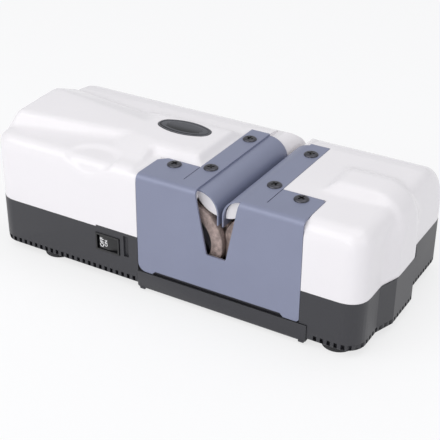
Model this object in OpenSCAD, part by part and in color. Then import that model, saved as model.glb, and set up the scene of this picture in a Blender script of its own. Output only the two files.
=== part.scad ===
// Bench-top electric knife sharpener: two interlocking pairs of grinding rings
// under a bent sheet-metal blade guide, belt-driven inside a two-part housing.
// Millimetres. X runs along the length, Y to the back, Z up from the table.

/* [Body] */
// Overall length over the two end bulges
body_l = 330; // [300:1:380]
// Depth of the housing, front face to back face
body_w = 155; // [145:1:185]
// Height of the parting line between base and top shell
part_h = 45; // [42:1:52]
// Height of the flat top beside the slot
top_h = 99.2; // [97:0.1:118]
// How far the raised band stands above the flat top
band_rise = 6; // [3:0.5:10]
// Extra height of the raised band at the left end
end_rise = 7; // [0:0.5:9]
// Gap between the table and the skirt's lower edge
foot_gap = 6; // [5:0.5:9]
// How far the bulge on each end stands out
bulge = 6; // [3:0.5:9]
// Plan radius of the front corners
front_r = 15; // [8:1:20]
// Plan radius of the back corners
back_r = 10; // [6:1:20]
// Radius of the long top edge at the back
crown_r = 42; // [30:1:44]
// Wall thickness of the moulded housing
wall = 3; // [2.5:0.1:4]

/* [Blade slot] */
// Distance of the blade slot from the middle of the body
slot_x = 45; // [30:1:55]
// Half width of the slot mouth between the flat strips
mouth_half = 18; // [15:0.5:22]
// Half width of the throat between the two curved guides
throat_half = 1.5; // [1.2:0.1:2.5]
// Height of the lower lip of the guides
guide_low_h = 73; // [71:0.5:80]
// Thickness of the curved guide sheets
guide_t = 1.2; // [1:0.1:1.5]
// Length of the guides from the front face
guide_l = 113; // [90:1:125]

/* [Guide plate] */
// Width of the front plate
plate_w = 136; // [125:1:160]
// Thickness of the front plate
plate_t = 1.5; // [1.2:0.1:2]
// Height of the plate's lower edge at its two ears
plate_low_h = 18.2; // [16:0.2:24]
// Depth of the top flange, back from the front face
flange_d = 35; // [25:1:45]
// Width of the two strips beside the slot
strip_w = 16; // [13:0.5:22]
// Outside bend radius of the plate
bend_r = 5; // [3:0.5:8]
// Half width of the notch at its lower edge
notch_low_half = 8; // [5:0.5:11]
// Height of the notch's lower edge
notch_low_h = 49.8; // [47:0.2:58]

/* [Grinding rings] */
// Outside diameter of the rings
stone_d = 59; // [50:1:62]
// Angle that each ring makes with the upright blade
grind_angle = 19; // [15:0.5:22]
// Thickness of one ring
stone_t = 6; // [5:0.5:8]
// Side gap between a ring and the rings of the other shaft
stone_gap = 0.5; // [0.4:0.1:1]
// Rings on each shaft
stone_count = 4; // [2:1:4]
// Radial width of the abrasive
stone_ring = 9.5; // [7:0.5:11]
// Height of both grinding shafts above the table
shaft_h = 55; // [52:0.5:58]
// Diameter of the grinding shafts
shaft_d = 10; // [8:1:12]

/* [Drive] */
// Teeth on each of the two equal gears
gear_teeth = 36; // [24:2:48]
// Face width of the gears
gear_w = 7; // [5:1:9]
// Radius of the belt pulley on the left shaft
driven_r = 20; // [15:1:24]
// Radius of the belt pulley on the motor
drive_r = 12; // [9:1:15]
// Width of the flat belt
belt_w = 8; // [6:1:9]
// Diameter of the motor's steel case
motor_d = 74; // [60:1:76]
// Length of the motor's steel case
motor_l = 56; // [45:1:60]
// Distance of the motor from the middle of the body
motor_x = -72; // [-85:1:-68]

/* [Switch] */
// Width of the rocker's opening
rocker_w = 19; // [17:0.5:24]
// Height of the rocker's opening
rocker_h = 12; // [10:0.5:14]
// Distance of the switch to the left of the guide plate
switch_gap = 28; // [22:1:42]
// Swing of the rocker from off to on, in degrees
rocker_swing = 14; // [10:1:18]

/* [Dust tray] */
// Width of the tray's front panel
tray_panel_w = 143; // [125:1:150]
// Width of the bin behind the panel
tray_bin_w = 112; // [90:1:116]
// Depth of the bin behind the front face
tray_d = 58; // [45:1:58]
// How far the tray's panel stands out of the body
tray_proud = 3.5; // [2:0.5:6]
// Gap between the table and the tray's panel
tray_gap = 3.4; // [2:0.2:5]

/* [Fits] */
// Gap between fixed pieces that curve round each other
fit = 0.3; // [0.2:0.05:0.5]
// Radial running gap of a shaft in a bearing
run_fit = 0.05; // [0.02:0.01:0.1]

/* [Small parts] */
// Diameter of the rubber feet
foot_d = 26; // [20:1:30]
// Diameter of the plate screw heads
screw_head_d = 12.3; // [9:0.1:14]
// Diameter of the plate screw shanks
screw_d = 5; // [4:0.5:6]
// Outside diameter of the shaft bearings
bearing_d = 26; // [22:1:28]
// Width of the shaft bearings
bearing_w = 8; // [6:1:8]
// Diameter of the hole for the mains lead
cable_d = 7.6; // [6:0.2:10]
// Spacing of the small vent slots round the skirt
vent_pitch = 5.3; // [4.5:0.1:8]

/* [Hidden] */
$fn = 64;

eps = 0.01;
big = 400;
shell_white = "#EDEDF0";
base_grey = "#4B4A50";
plate_blue = "#8A8FA6";
stone_brown = "#A8958F";
steel = "#B9BCC0";
dark_steel = "#45464A";

// Overall box: the tray stands out at the front and the gland at the back
gland_proud = 2.5;
front_y = -(body_w + tray_proud + gland_proud) / 2 + tray_proud;
back_y = front_y + body_w;
end_x = body_l / 2 - bulge;

// Top shell
band_h = top_h + band_rise;
left_top_h = band_h + end_rise;
front_edge_r = 9;
cavity_h = top_h - wall - plate_t - guide_t;
bulge_y0 = front_y + 32;
bulge_y1 = front_y + 102;
bulge_run = 17;
bulge_ys = [bulge_y0 + bulge_run + 3 - front_y, bulge_y1 - bulge_run - 3 - front_y];
bulge_foot_ys = [bulge_y0 + 3 - front_y, bulge_y1 - 3 - front_y];
band_edge_r = 4;
band_turn_r = 26;
band_ys = [57, 78];
band_foot_ys = [48, 92];
dish_depth = 0.8;

// Two steel sheets lie over each other beside the slot
strip_half = mouth_half + strip_w;
strip_low_h = top_h - plate_t;
guide_top_h = strip_low_h;
guide_r = mouth_half - throat_half;
guide_c_h = guide_top_h - guide_r;
guide_flange_half = strip_half - 0.6;
screw_y = [28, 37.1, 95.6];
screw_dx = [plate_w / 2 - 15.8, mouth_half + strip_w / 2 + 0.4];
plate_screw_at = [for (s = [-1, 1]) each [
    [slot_x + s * screw_dx[0], front_y + screw_y[0]],
    [slot_x + s * screw_dx[1], front_y + screw_y[1]],
    [slot_x + s * screw_dx[1], front_y + screw_y[2]]]];
boss_low_h = cavity_h - 4;

// Grinding rings: the shafts stand apart so that the rims cross at the angle
stone_r = stone_d / 2;
shaft_dx = stone_r * cos(grind_angle);
stone_y0 = front_y + 6.5;
stone_pitch = 2 * (stone_t + stone_gap);
stone_bore_r = stone_r - stone_ring;
hub_y0 = stone_y0 + 3.5;
hub_y1 = stone_y0 + stone_count * stone_pitch + 1.5;
spacer_r = stone_r - 6;

// Bearing frame behind the rings
plate_a_y = hub_y1 + 5;
plate_b_y = plate_a_y + 30;
frame_t = bearing_w;
frame_half_w = shaft_dx + bearing_d / 2 + 7;
gear_y = plate_b_y + frame_t + 3;
belt_y = gear_y + gear_w + 3.5;
pulley_rim = 1.5;
shaft_end_y = belt_y + belt_w + 4;
floor_h = foot_gap + 2.5;

// Motor
motor_h = shaft_h - 1;
motor_y1 = belt_y - 16;
motor_y0 = motor_y1 - motor_l;
bell_t = 9;
rotor_r = 0.27 * motor_d;
rotor_shaft_r = 4;

// Switch
switch_x = slot_x - plate_w / 2 - switch_gap;
switch_h = part_h - 12.5;
rocker_pivot_y = front_y + 5;
step_x0 = switch_x - 11;
step_h = 1.2;

// Tray
tray_x = slot_x + 3;
tray_top_h = plate_low_h - 0.3;
bin_low_h = floor_h + fit;
bin_top_h = tray_top_h - 0.4;

foot_at = [for (x = [-end_x + 48.3, end_x - 21.3], y = [front_y + 15.5, back_y - 19]) [x, y]];
cover_screw_at = [for (s = [-1, 1], y = [front_y + 30, back_y - 44]) [s * (end_x - 8), y]];
gland_x = -end_x + 45;
gland_h = 30;

// Small features
skirt_chamfer = 4.5;
pocket_slope = 9;
vent_w = 2.6;
vent_h = 7.4;
cover_in = wall + fit;
post_r = 5.5;
cover_screw_r = 2;
post_screw_l = 12;
foot_screw_r = 2;
foot_boss_h = 5;
badge_x = slot_x - 73.8;
badge_y = front_y + 76.4;
badge_l = 46;
badge_t = 1.6;
guide_set_in = 6;
switch_wall = 0.8;
rocker_reach = 5.8;
groove_dx = 16.4;
groove_r = 2.2;
tray_fit = 0.4;
gland_r = 7.5;
cap_r = 14;
cap_x = -end_x + 28;
cap_y = front_y + 62;
motor_bearing_r = 11;

// ---- shared outlines ----

// Rectangle with its front corners and back corners rounded apart
module rounded_plan(x0, x1, y0, y1, rf, rb) {
    for (p = [[x0 + rf, y0 + rf, rf], [x1 - rf, y0 + rf, rf],
            [x0 + rb, y1 - rb, rb], [x1 - rb, y1 - rb, rb]])
        translate([p[0], p[1]]) circle(p[2]);
    polygon([[x0 + rf, y0], [x1 - rf, y0], [x1, y0 + rf], [x1, y1 - rb],
        [x1 - rb, y1], [x0 + rb, y1], [x0, y1 - rb], [x0, y0 + rf]]);
}

// Plan of the housing, drawn in by an inset
module body_plan(inset = 0) {
    rounded_plan(-end_x + inset, end_x - inset, front_y + inset, back_y - inset,
        front_r - inset, back_r - inset);
    for (s = [-1, 1]) {
        tip = s * (end_x + bulge - inset);
        polygon([[0, bulge_y0 + inset / 2], [s * (end_x - inset), bulge_y0 + inset / 2],
            [tip, bulge_y0 + bulge_run + inset / 2], [tip, bulge_y1 - bulge_run - inset / 2],
            [s * (end_x - inset), bulge_y1 - inset / 2], [0, bulge_y1 - inset / 2]]);
    }
}

// Cross-section of the open valley that the blade runs in, wide at the top
module valley_section(half, arc_r, arc_c_h, low_h) {
    gap = half - arc_r;
    polygon(concat(
        [for (s = [0 : 6 : 90]) [half - arc_r * sin(s), arc_c_h + arc_r * cos(s)]],
        [[gap, low_h], [-gap, low_h]],
        [for (s = [90 : -6 : 0]) [-half + arc_r * sin(s), arc_c_h + arc_r * cos(s)]],
        [[-half, big / 2], [half, big / 2]]));
}

// Runs a section drawn in X and Z from y0 to y1, centred on the slot
module along_slot(y0, y1) {
    translate([slot_x, y1, 0]) rotate([90, 0, 0]) linear_extrude(y1 - y0) children();
}

// ---- housing ----

// One rounded block of the shell; its top rises from h0 at the front to h1
module shell_block(x0, x1, h0, h1, crown, inset) {
    rf = max(front_edge_r - inset, 2);
    rb = back_r - inset;
    rise = crown - back_r;
    c = [back_y - crown, h1 - crown];
    hull() {
        translate([0, 0, part_h]) linear_extrude(1)
            rounded_plan(x0, x1, front_y + inset, back_y - inset, front_r - inset, rb);
        for (x = [x0 + rf + 3, x1 - rf - 3]) translate([x, front_y + inset + rf + 1, h0 - inset - rf])
            sphere(rf, $fn = 24);
        for (x = [x0 + rb + 2, x1 - rb - 2], a = [0 : 22.5 : 90])
            translate([x, c[0] + rise * sin(a), c[1] + rise * cos(a)]) sphere(rb, $fn = 20);
    }
}

// Skin round balls, each [x, distance back from the front, height of its top], drawn in by an inset
module ball_skin(balls, inset) {
    hull() for (b = balls) translate([b[0], front_y + b[1], b[2] - band_edge_r])
        sphere(band_edge_r - inset, $fn = 16);
}

// Balls along the quarter turn at the right end, a step inside the bulge's own turn
function end_turn(ys, step) = [for (a = [0 : 22.5 : 90], y = ys)
    let (r = band_turn_r - band_edge_r - step)
    [end_x + bulge - band_turn_r + r * sin(a), y, band_h - band_turn_r + band_edge_r + r * cos(a)]];

// Raised band of the right half, turned down over the right end as its bulge
module right_band(inset) {
    start_x = slot_x + 60;
    ball_skin(concat(
        [for (y = band_ys) [start_x + 8, y, band_h]], [for (y = band_foot_ys) [start_x, y, top_h]],
        end_turn(band_ys, 0), end_turn(band_foot_ys, bulge),
        [for (y = bulge_ys, h = [part_h, band_h - 34]) [end_x + bulge - band_edge_r, y, h]],
        [for (y = bulge_foot_ys, h = [part_h, top_h - 20]) [end_x - band_edge_r, y, h]]), inset);
}

// Raised band of the left half, highest over the left end and narrowing to the plateau
module left_band(inset) {
    neck_x = badge_x - 31;
    ball_skin([
        [-end_x + 8, 29, left_top_h - 1.5], [-end_x + 5, 77, left_top_h - 0.7],
        [neck_x, 51, band_h], [neck_x, 71, band_h],
        [-end_x + 3, 20, top_h - 2], [-end_x + 3, 92, top_h + 3],
        [neck_x - 6, 45, top_h + 1.2], [neck_x - 6, 82, top_h + 2.5],
        for (y = bulge_ys, h = [part_h, top_h - 1.5]) [-end_x - bulge + band_edge_r, y, h],
        for (y = bulge_foot_ys, h = [part_h, top_h - 6]) [-end_x + band_edge_r, y, h]], inset);
}

// Level plateau that carries the badge, with a long soft slope to its front left
module plateau(inset) {
    pocket_x = slot_x - plate_w / 2 - 13;
    ball_skin([
        [badge_x - 31, 50, band_h], [badge_x - 31, 90, band_h],
        [slot_x - 13, 47, band_h], [slot_x - 13, 90, band_h], [pocket_x, 46, band_h],
        [badge_x - 43, 43, top_h + 0.5], [badge_x - 43, 96, top_h + 1.8],
        [slot_x - 8, 37, top_h], [slot_x - 8, 97, top_h + 1.8],
        [pocket_x, 16, top_h + 0.6], [pocket_x - 16, 18, top_h + 0.6]], inset);
}

// Solid form of the top shell, drawn in by an inset
module shell_form(inset) {
    intersection() {
        union() {
            shell_block(-end_x + inset, slot_x + 20, top_h + 0.8, top_h, crown_r, inset);
            shell_block(slot_x - 20, end_x - inset, top_h, top_h, crown_r, inset);
            left_band(inset);
            plateau(inset);
            right_band(inset);
        }
        translate([-big / 2, -big / 2, part_h]) cube(big);
    }
}

// Shallow oval dish pressed into the front edge of the left shelf
module front_dish() {
    difference() {
        translate([badge_x - 39, front_y + 3.4, top_h + 4.2]) rotate([45, 0, 0]) scale([1, 0.68, 1])
            cylinder(h = 40, r = 20, center = true, $fn = 48);
        shell_form(dish_depth);
    }
}

// Room for the guide plate, with sloping walls where the shell stands higher
module plate_pocket() {
    half = plate_w / 2 + fit;
    floor_z = strip_low_h;
    slope = pocket_slope;
    // under the flange
    intersection() {
        along_slot(front_y - 5, front_y + flange_d + slope + 2)
            polygon([[-half - 4, floor_z], [half, floor_z], [half, big], [-half - 4 - slope, big],
                [-half - 4 - slope, floor_z + slope]]);
        translate([-big / 2, 0, 0]) rotate([90, 0, 90]) linear_extrude(big)
            polygon([[front_y - 5, floor_z], [front_y + flange_d + fit, floor_z],
                [front_y + flange_d + slope, floor_z + slope], [front_y + flange_d + slope, big],
                [front_y - 5, big]]);
    }
    // under the strips, down to the guides' own flanges below them
    seat_z = floor_z - guide_t;
    along_slot(front_y - 5, front_y + guide_l + fit)
        polygon([[-strip_half - fit, seat_z], [strip_half + fit, seat_z],
            [strip_half + fit, big], [-strip_half - slope, big],
            [-strip_half - slope, floor_z + slope], [-strip_half - fit, floor_z]]);
    // behind the upright face of the plate
    translate([slot_x - half, front_y - 5, part_h - eps])
        cube([2 * half, 5 + plate_t, top_h - part_h]);
    // round the bend
    translate([slot_x - half, front_y + bend_r, top_h - bend_r]) rotate([0, 90, 0])
        difference() {
            translate([-bend_r - 1, -bend_r - 1, 0]) cube([bend_r + 1, bend_r + 1, 2 * half]);
            cylinder(h = 2 * half, r = bend_r - plate_t - fit);
        }
}

// White throat rib under each guide: a lens-shaped lip of the shell
module throat_rib() {
    rib_r = guide_r - guide_t - fit;
    along_slot(front_y + 9, back_y - wall - 8) {
        intersection() {
            translate([-mouth_half, guide_c_h]) circle(rib_r);
            translate([-mouth_half + 17.5, guide_c_h + 21]) circle(23.5);
        }
        translate([-mouth_half - 6, guide_c_h + rib_r - 2.4]) square([8, 2.4]);
    }
}

// Screw bosses moulded to the underside of the shell
module shell_bosses() {
    for (p = plate_screw_at) translate([p[0], p[1], boss_low_h])
        cylinder(h = strip_low_h - guide_t - boss_low_h, r = screw_d / 2 + 2.5);
}

module top_shell() {
    valley_r = guide_r - guide_t - fit;
    pad_half = plate_w / 2 + 3;
    $fn = 32;
    color(shell_white) difference() {
        union() {
            difference() {
                shell_form(0);
                translate([0, 0, -eps]) shell_form(wall);
            }
            // thicker seats under the plate and the guides
            translate([slot_x - pad_half, front_y + 1, part_h])
                cube([2 * pad_half, wall + plate_t - 1, top_h - part_h - 8]);
            translate([slot_x - pad_half, front_y + 3, strip_low_h - wall - 0.5])
                cube([2 * pad_half, flange_d + wall, wall + 0.3]);
            translate([slot_x - strip_half - wall, front_y + 3, cavity_h])
                cube([2 * (strip_half + wall), body_w - crown_r + 2, top_h - cavity_h - 1.2]);
            // backing for the sloping walls on the left of the plate and the strip
            intersection() {
                shell_form(0.4);
                union() {
                    translate([slot_x - strip_half - pocket_slope - wall, front_y + flange_d, cavity_h])
                        cube([pocket_slope + wall + 2, guide_l - flange_d + wall, band_rise + 4]);
                    translate([slot_x - pad_half - 4 - pocket_slope, front_y + 3, strip_low_h - wall])
                        cube([plate_w / 2, flange_d + pocket_slope, band_rise + 3]);
                }
            }
            intersection() {
                shell_form(0.4);
                union() {
                    throat_rib();
                    mirror_at_slot() throat_rib();
                }
            }
            shell_bosses();
            shell_posts();
        }
        plate_pocket();
        front_dish();
        // room for the raised edge of the base beside the switch
        translate([step_x0 - fit, front_y - 1, part_h - 1])
            cube([slot_x - plate_w / 2 - step_x0 + fit, wall + 1 + fit, 1 + step_h + fit / 3]);
        // valley through the whole depth of the shell
        along_slot(front_y - 5, back_y + 5)
            valley_section(mouth_half, valley_r, guide_c_h, guide_low_h - 1);
        // view of the rings through the front wall
        translate([slot_x - mouth_half - 1.5, front_y - 1, notch_low_h - 2])
            cube([2 * mouth_half + 3, wall + plate_t + 2, top_h]);
        for (p = plate_screw_at) translate([p[0], p[1], boss_low_h - 1])
            cylinder(h = 20, r = screw_d / 2 + run_fit);
        for (p = cover_screw_at) translate([p[0], p[1], part_h - 1])
            cylinder(h = post_screw_l + 2, r = cover_screw_r + run_fit);
        // running room over the grinding rings and the gears
        for (s = [-1, 1]) on_shaft(s, front_y + wall + plate_t)
            cylinder(h = body_w - 2 * wall - plate_t, r = stone_r + 1);
        // seat of the badge
        translate([badge_x, badge_y, band_h - badge_t + 0.4]) badge_solid(badge_t + 1, fit);
    }
}

// Mirrors across the plane of the blade slot
module mirror_at_slot() {
    translate([2 * slot_x, 0, 0]) mirror([1, 0, 0]) children();
}

// Posts of the shell that take the long screws from below
module shell_posts() {
    for (p = cover_screw_at) translate([p[0], p[1], part_h])
        cylinder(h = post_screw_l + 4, r = post_r);
}

// ---- base ----

// Outer form of the skirt with a chamfer round its lower edge
module skirt_form() {
    c = skirt_chamfer;
    h = part_h - foot_gap;
    intersection() {
        translate([0, 0, foot_gap]) linear_extrude(h)
            rounded_plan(-end_x, end_x, front_y, back_y, front_r, back_r);
        lower_chamfer_x(end_x, c);
        translate([-big / 2, 0, 0]) rotate([90, 0, 90]) linear_extrude(big)
            polygon([[front_y + c, foot_gap], [back_y - c, foot_gap], [back_y, foot_gap + c],
                [back_y, part_h], [front_y, part_h], [front_y, foot_gap + c]]);
    }
    intersection() {
        translate([0, 0, foot_gap]) linear_extrude(h) intersection() {
            body_plan(0);
            translate([-big / 2, bulge_y0]) square([big, bulge_y1 - bulge_y0]);
        }
        lower_chamfer_x(end_x + bulge, c);
    }
}

module lower_chamfer_x(half, c) {
    translate([0, back_y, 0]) rotate([90, 0, 0]) linear_extrude(body_w)
        polygon([[-half + c, foot_gap], [half - c, foot_gap], [half, foot_gap + c],
            [half, part_h], [-half, part_h], [-half, foot_gap + c]]);
}

// One row of small vent slots, cut across the skirt's lower edge
module vent_row(from, to, length) {
    count = floor((to - from) / vent_pitch);
    for (i = [0 : count]) translate([from + i * vent_pitch, -length / 2, foot_gap + 0.9])
        cube([vent_w, length, vent_h]);
}

module base_tub() {
    pad_half = plate_w / 2 + 3;
    color(base_grey) difference() {
        union() {
            difference() {
                skirt_form();
                translate([0, 0, foot_gap - 1]) linear_extrude(part_h) body_plan(wall);
            }
            translate([slot_x - pad_half, front_y + wall - 1, floor_h])
                cube([2 * pad_half, plate_t + 1, part_h - floor_h]);
            for (p = cover_screw_at) translate([p[0], p[1], floor_h])
                cylinder(h = part_h - floor_h, r = post_r);
            // raised edge beside the switch
            translate([step_x0, front_y, part_h - 1])
                cube([slot_x - plate_w / 2 - step_x0 - fit, wall, 1 + step_h]);
        }
        // seat of the front plate
        translate([slot_x - plate_w / 2 - fit, front_y - 1, plate_low_h - fit])
            cube([plate_w + 2 * fit, 1 + plate_t, part_h]);
        // mouth of the dust tray, open downwards
        translate([tray_x - tray_bin_w / 2 - tray_fit, front_y - 1, 0])
            cube([tray_bin_w + 2 * tray_fit, 8, bin_top_h + tray_fit]);
        // switch opening
        translate([switch_x, front_y, switch_h]) rotate([90, 0, 0]) linear_extrude(20, center = true)
            square([rocker_w + 2 * switch_wall + 2 * fit, rocker_h + 2 * switch_wall + 2 * fit],
                center = true);
        // finger groove beside the switch
        translate([switch_x + groove_dx, front_y, part_h - 19]) cylinder(h = 17.8, r = groove_r);
        // gland hole
        translate([gland_x, back_y, gland_h]) rotate([90, 0, 0])
            cylinder(h = 20, r = gland_r + fit, center = true);
        for (p = cover_screw_at) translate([p[0], p[1], 0])
            cylinder(h = part_h + 1, r = cover_screw_r + run_fit);
        // vents
        translate([0, front_y, 0]) {
            vent_row(-end_x + front_r, slot_x - plate_w / 2 - 5, 2 * skirt_chamfer + 2);
            vent_row(tray_x + tray_panel_w / 2 + 4, end_x - front_r, 2 * skirt_chamfer + 2);
        }
        translate([0, back_y, 0])
            vent_row(-end_x + front_r, end_x - front_r - vent_w, 2 * skirt_chamfer + 2);
        for (x = [-end_x, end_x]) translate([x, 0, 0]) rotate([0, 0, 90]) {
            vent_row(front_y + front_r, bulge_y0, 2 * skirt_chamfer + 2);
            vent_row(bulge_y1, back_y - back_r - vent_w, 2 * skirt_chamfer + 2);
        }
        for (s = [-1, 1]) translate([s * (end_x + bulge), 0, 0]) rotate([0, 0, 90])
            vent_row(bulge_y0 + bulge_run, bulge_y1 - bulge_run - vent_w, 2 * skirt_chamfer + 2);
    }
}

module bottom_cover() {
    color(base_grey) difference() {
        union() {
            translate([0, 0, foot_gap]) linear_extrude(floor_h - foot_gap) body_plan(cover_in);
            for (p = foot_at) translate([p[0], p[1], floor_h - eps]) cylinder(h = foot_boss_h, r = 5);
            // ring that holds the capacitor
            translate([cap_x, cap_y, floor_h - eps]) difference() {
                cylinder(h = 8, r = cap_r + 2.3);
                translate([0, 0, -1]) cylinder(h = 10, r = cap_r + fit);
            }
        }
        for (p = foot_at) translate([p[0], p[1], 0]) cylinder(h = 40, r = foot_screw_r + run_fit);
        for (p = cover_screw_at) translate([p[0], p[1], 0]) cylinder(h = 20, r = cover_screw_r + fit);
        // rows of cooling slots under the motor
        for (i = [-4 : 4]) translate([motor_x + 8 * i - 1.5, motor_y0 + 8, 0])
            cube([3, motor_l - 16, 20]);
    }
}

module cover_screws() {
    color(dark_steel) for (p = cover_screw_at) translate([p[0], p[1], foot_gap - 2.2]) {
        cylinder(h = 2.2, r = 4);
        translate([0, 0, 2.2 - eps]) cylinder(h = part_h + post_screw_l - foot_gap, r = cover_screw_r);
    }
}

module feet() {
    r = foot_d / 2;
    color("#26262A") for (p = foot_at) translate([p[0], p[1], 0]) difference() {
        rotate_extrude() polygon([[foot_screw_r + 0.2, 0], [r - 2, 0], [r - 1, 0.6], [r, foot_gap - 1],
            [r - 0.8, foot_gap], [foot_screw_r + 0.2, foot_gap]]);
        translate([0, 0, -1]) cylinder(h = 1 + foot_gap - 2.5, r = 4.8);
    }
}

module foot_screws() {
    color(steel) for (p = foot_at) translate([p[0], p[1], foot_gap - 2.5]) {
        translate([0, 0, -2]) cylinder(h = 2, r = 4);
        cylinder(h = 2.5 + floor_h - foot_gap + foot_boss_h - 1, r = foot_screw_r);
    }
}

// ---- guide plate and guides ----

// Outline of the plate's upright face: ears at both lower corners and the notch
module plate_face_outline() {
    half = plate_w / 2;
    ear = 12.5;
    lift = 2.7;
    difference() {
        polygon([[-half + 7, plate_low_h], [-half + ear, plate_low_h], [-half + ear + lift, plate_low_h + lift],
            [half - ear - lift, plate_low_h + lift], [half - ear, plate_low_h], [half - 3, plate_low_h],
            [half, plate_low_h + 3], [half, big], [-half, big], [-half, plate_low_h + 7]]);
        notch_outline();
    }
    translate([-half + 7, plate_low_h + 7]) circle(7);
    translate([half - 3, plate_low_h + 3]) circle(3);
}

// The notch narrows downwards and has small round corners at its foot
module notch_outline() {
    r = 1.6;
    lean = (mouth_half - notch_low_half) / (top_h - notch_low_h);
    for (s = [-1, 1]) translate([s * (notch_low_half - r + lean * r), notch_low_h + r]) circle(r);
    polygon([[-notch_low_half + r, notch_low_h], [notch_low_half - r, notch_low_h],
        [notch_low_half + lean * r, notch_low_h + r], [mouth_half, top_h], [mouth_half, big],
        [-mouth_half, big], [-mouth_half, top_h], [-notch_low_half - lean * r, notch_low_h + r]]);
}

// Plan of the flange and its two strips beside the slot
module plate_top_outline() {
    half = plate_w / 2;
    polygon([[-half, front_y], [half, front_y], [half, front_y + flange_d - 2],
        [half - 2, front_y + flange_d], [strip_half, front_y + flange_d],
        [strip_half, front_y + guide_l], [-strip_half, front_y + guide_l],
        [-strip_half, front_y + flange_d], [-half + 6, front_y + flange_d],
        [-half, front_y + flange_d - 6]]);
}

module front_plate() {
    color(plate_blue) difference() {
        intersection() {
            // bent section, swept across the whole width
            translate([slot_x - plate_w / 2, 0, 0]) rotate([90, 0, 90]) linear_extrude(plate_w) {
                translate([front_y + bend_r, top_h - bend_r]) difference() {
                    circle(bend_r);
                    circle(bend_r - plate_t);
                    translate([0, -bend_r - 1]) square([bend_r + 1, 2 * bend_r + 2]);
                    translate([-bend_r - 1, -bend_r - 1]) square([2 * bend_r + 2, bend_r + 1]);
                }
                translate([front_y, plate_low_h]) square([plate_t, top_h - bend_r - plate_low_h]);
                translate([front_y + bend_r, strip_low_h]) square([guide_l - bend_r, plate_t]);
            }
            along_slot(front_y - 1, front_y + guide_l + 1) plate_face_outline();
            translate([slot_x, 0, 0]) linear_extrude(big) plate_top_outline();
        }
        // the mouth between the strips
        translate([slot_x - mouth_half, front_y + bend_r, strip_low_h - 1])
            cube([2 * mouth_half, guide_l, 10]);
        // relief slits between flange and strips
        for (s = [-1, 1]) translate([slot_x + s * strip_half - 0.3, front_y + 12, strip_low_h - 1])
            cube([0.6, flange_d - 12 + 1, 10]);
        for (p = plate_screw_at) translate([p[0], p[1], strip_low_h - 1])
            cylinder(h = 10, r = screw_d / 2 + fit);
    }
}

// One bent guide: flat flange, quarter round and upright lip at the throat
module guide_section() {
    r = guide_r;
    c = [-mouth_half, guide_c_h];
    translate([-guide_flange_half, guide_top_h - guide_t])
        square([guide_flange_half - mouth_half, guide_t]);
    translate(c) intersection() {
        difference() {
            circle(r);
            circle(r - guide_t);
        }
        square(r + 1);
    }
    translate([-throat_half - guide_t, guide_low_h]) square([guide_t, guide_c_h - guide_low_h]);
}

module blade_guide() {
    color(plate_blue) difference() {
        along_slot(front_y + guide_set_in, front_y + guide_l) guide_section();
        for (p = plate_screw_at) translate([p[0], p[1], guide_top_h - 5])
            cylinder(h = 10, r = screw_d / 2 + fit);
    }
}

module guide_left() { blade_guide(); }
module guide_right() { mirror_at_slot() blade_guide(); }

// Raised-head screws with a cross recess
module plate_screws() {
    r = screw_head_d / 2;
    color(dark_steel) for (p = plate_screw_at) translate([p[0], p[1], top_h]) difference() {
        union() {
            rotate_extrude() polygon([[0, 0], [r - 0.2, 0], [r, 0.3], [r - 0.4, 1.1], [r - 1.6, 1.9],
                [r - 3.2, 2.3], [0, 2.4]]);
            translate([0, 0, boss_low_h + 2 - top_h]) cylinder(h = top_h - boss_low_h - 2 + 0.5, r = screw_d / 2);
        }
        for (a = [0, 90]) rotate([0, 0, a + 20]) translate([-2.6, -0.55, 1.2]) cube([5.2, 1.1, 3]);
    }
}

// ---- badge and switch ----

// Oval twice as long as it is deep, built from four tangent arcs
module badge_outline(grow) {
    a = badge_l / 2 + grow;
    b = badge_l / 4 + grow;
    small = 0.35 * a;
    wide = ((a - small) ^ 2 + b ^ 2 - small ^ 2) / (2 * (b - small));
    intersection() {
        translate([0, b - wide]) circle(wide, $fn = 96);
        translate([0, wide - b]) circle(wide, $fn = 96);
        square([2 * a, 2 * b], center = true);
        union() {
            square([2 * (a - small), 2 * b], center = true);
            for (s = [-1, 1]) translate([s * (a - small), 0]) circle(small);
        }
    }
}

module badge_solid(h, grow) { linear_extrude(h) badge_outline(grow); }

module badge() {
    color("#3A3C40") translate([badge_x, badge_y, band_h - badge_t + 0.4 + eps]) badge_solid(badge_t, 0);
}

module switch_body() {
    w = rocker_w + 2 * switch_wall;
    h = rocker_h + 2 * switch_wall;
    color("#1E1E20") translate([switch_x, front_y, switch_h]) rotate([90, 0, 0]) difference() {
        union() {
            translate([0, 0, -14]) linear_extrude(14.8) square([w, h], center = true);
            linear_extrude(0.8) square([w + 1.2, h + 1.2], center = true);
            for (x = [-6, 0, 6]) translate([x - 0.4, -3, -20]) cube([0.8, 6, 6.5]);
        }
        translate([0, 0, -9]) linear_extrude(20) square([rocker_w, rocker_h], center = true);
    }
}

module switch_rocker() {
    half = rocker_w / 2 - rocker_reach * sin(rocker_swing / 2) - fit;
    color("#2A2A2D") translate([switch_x, rocker_pivot_y, switch_h - rocker_h / 2 + fit])
        rotate([0, 0, rocker_swing / 2]) linear_extrude(rocker_h - 2 * fit)
            polygon([[-half, -rocker_reach], [-half / 2, -rocker_reach + 0.6], [0, -rocker_reach + 0.9],
                [half / 2, -rocker_reach + 0.6], [half, -rocker_reach], [half - 0.8, 0.6],
                [2.5, 2.4], [-2.5, 2.4], [-half + 0.8, 0.6]]);
}

// ---- dust tray ----

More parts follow.
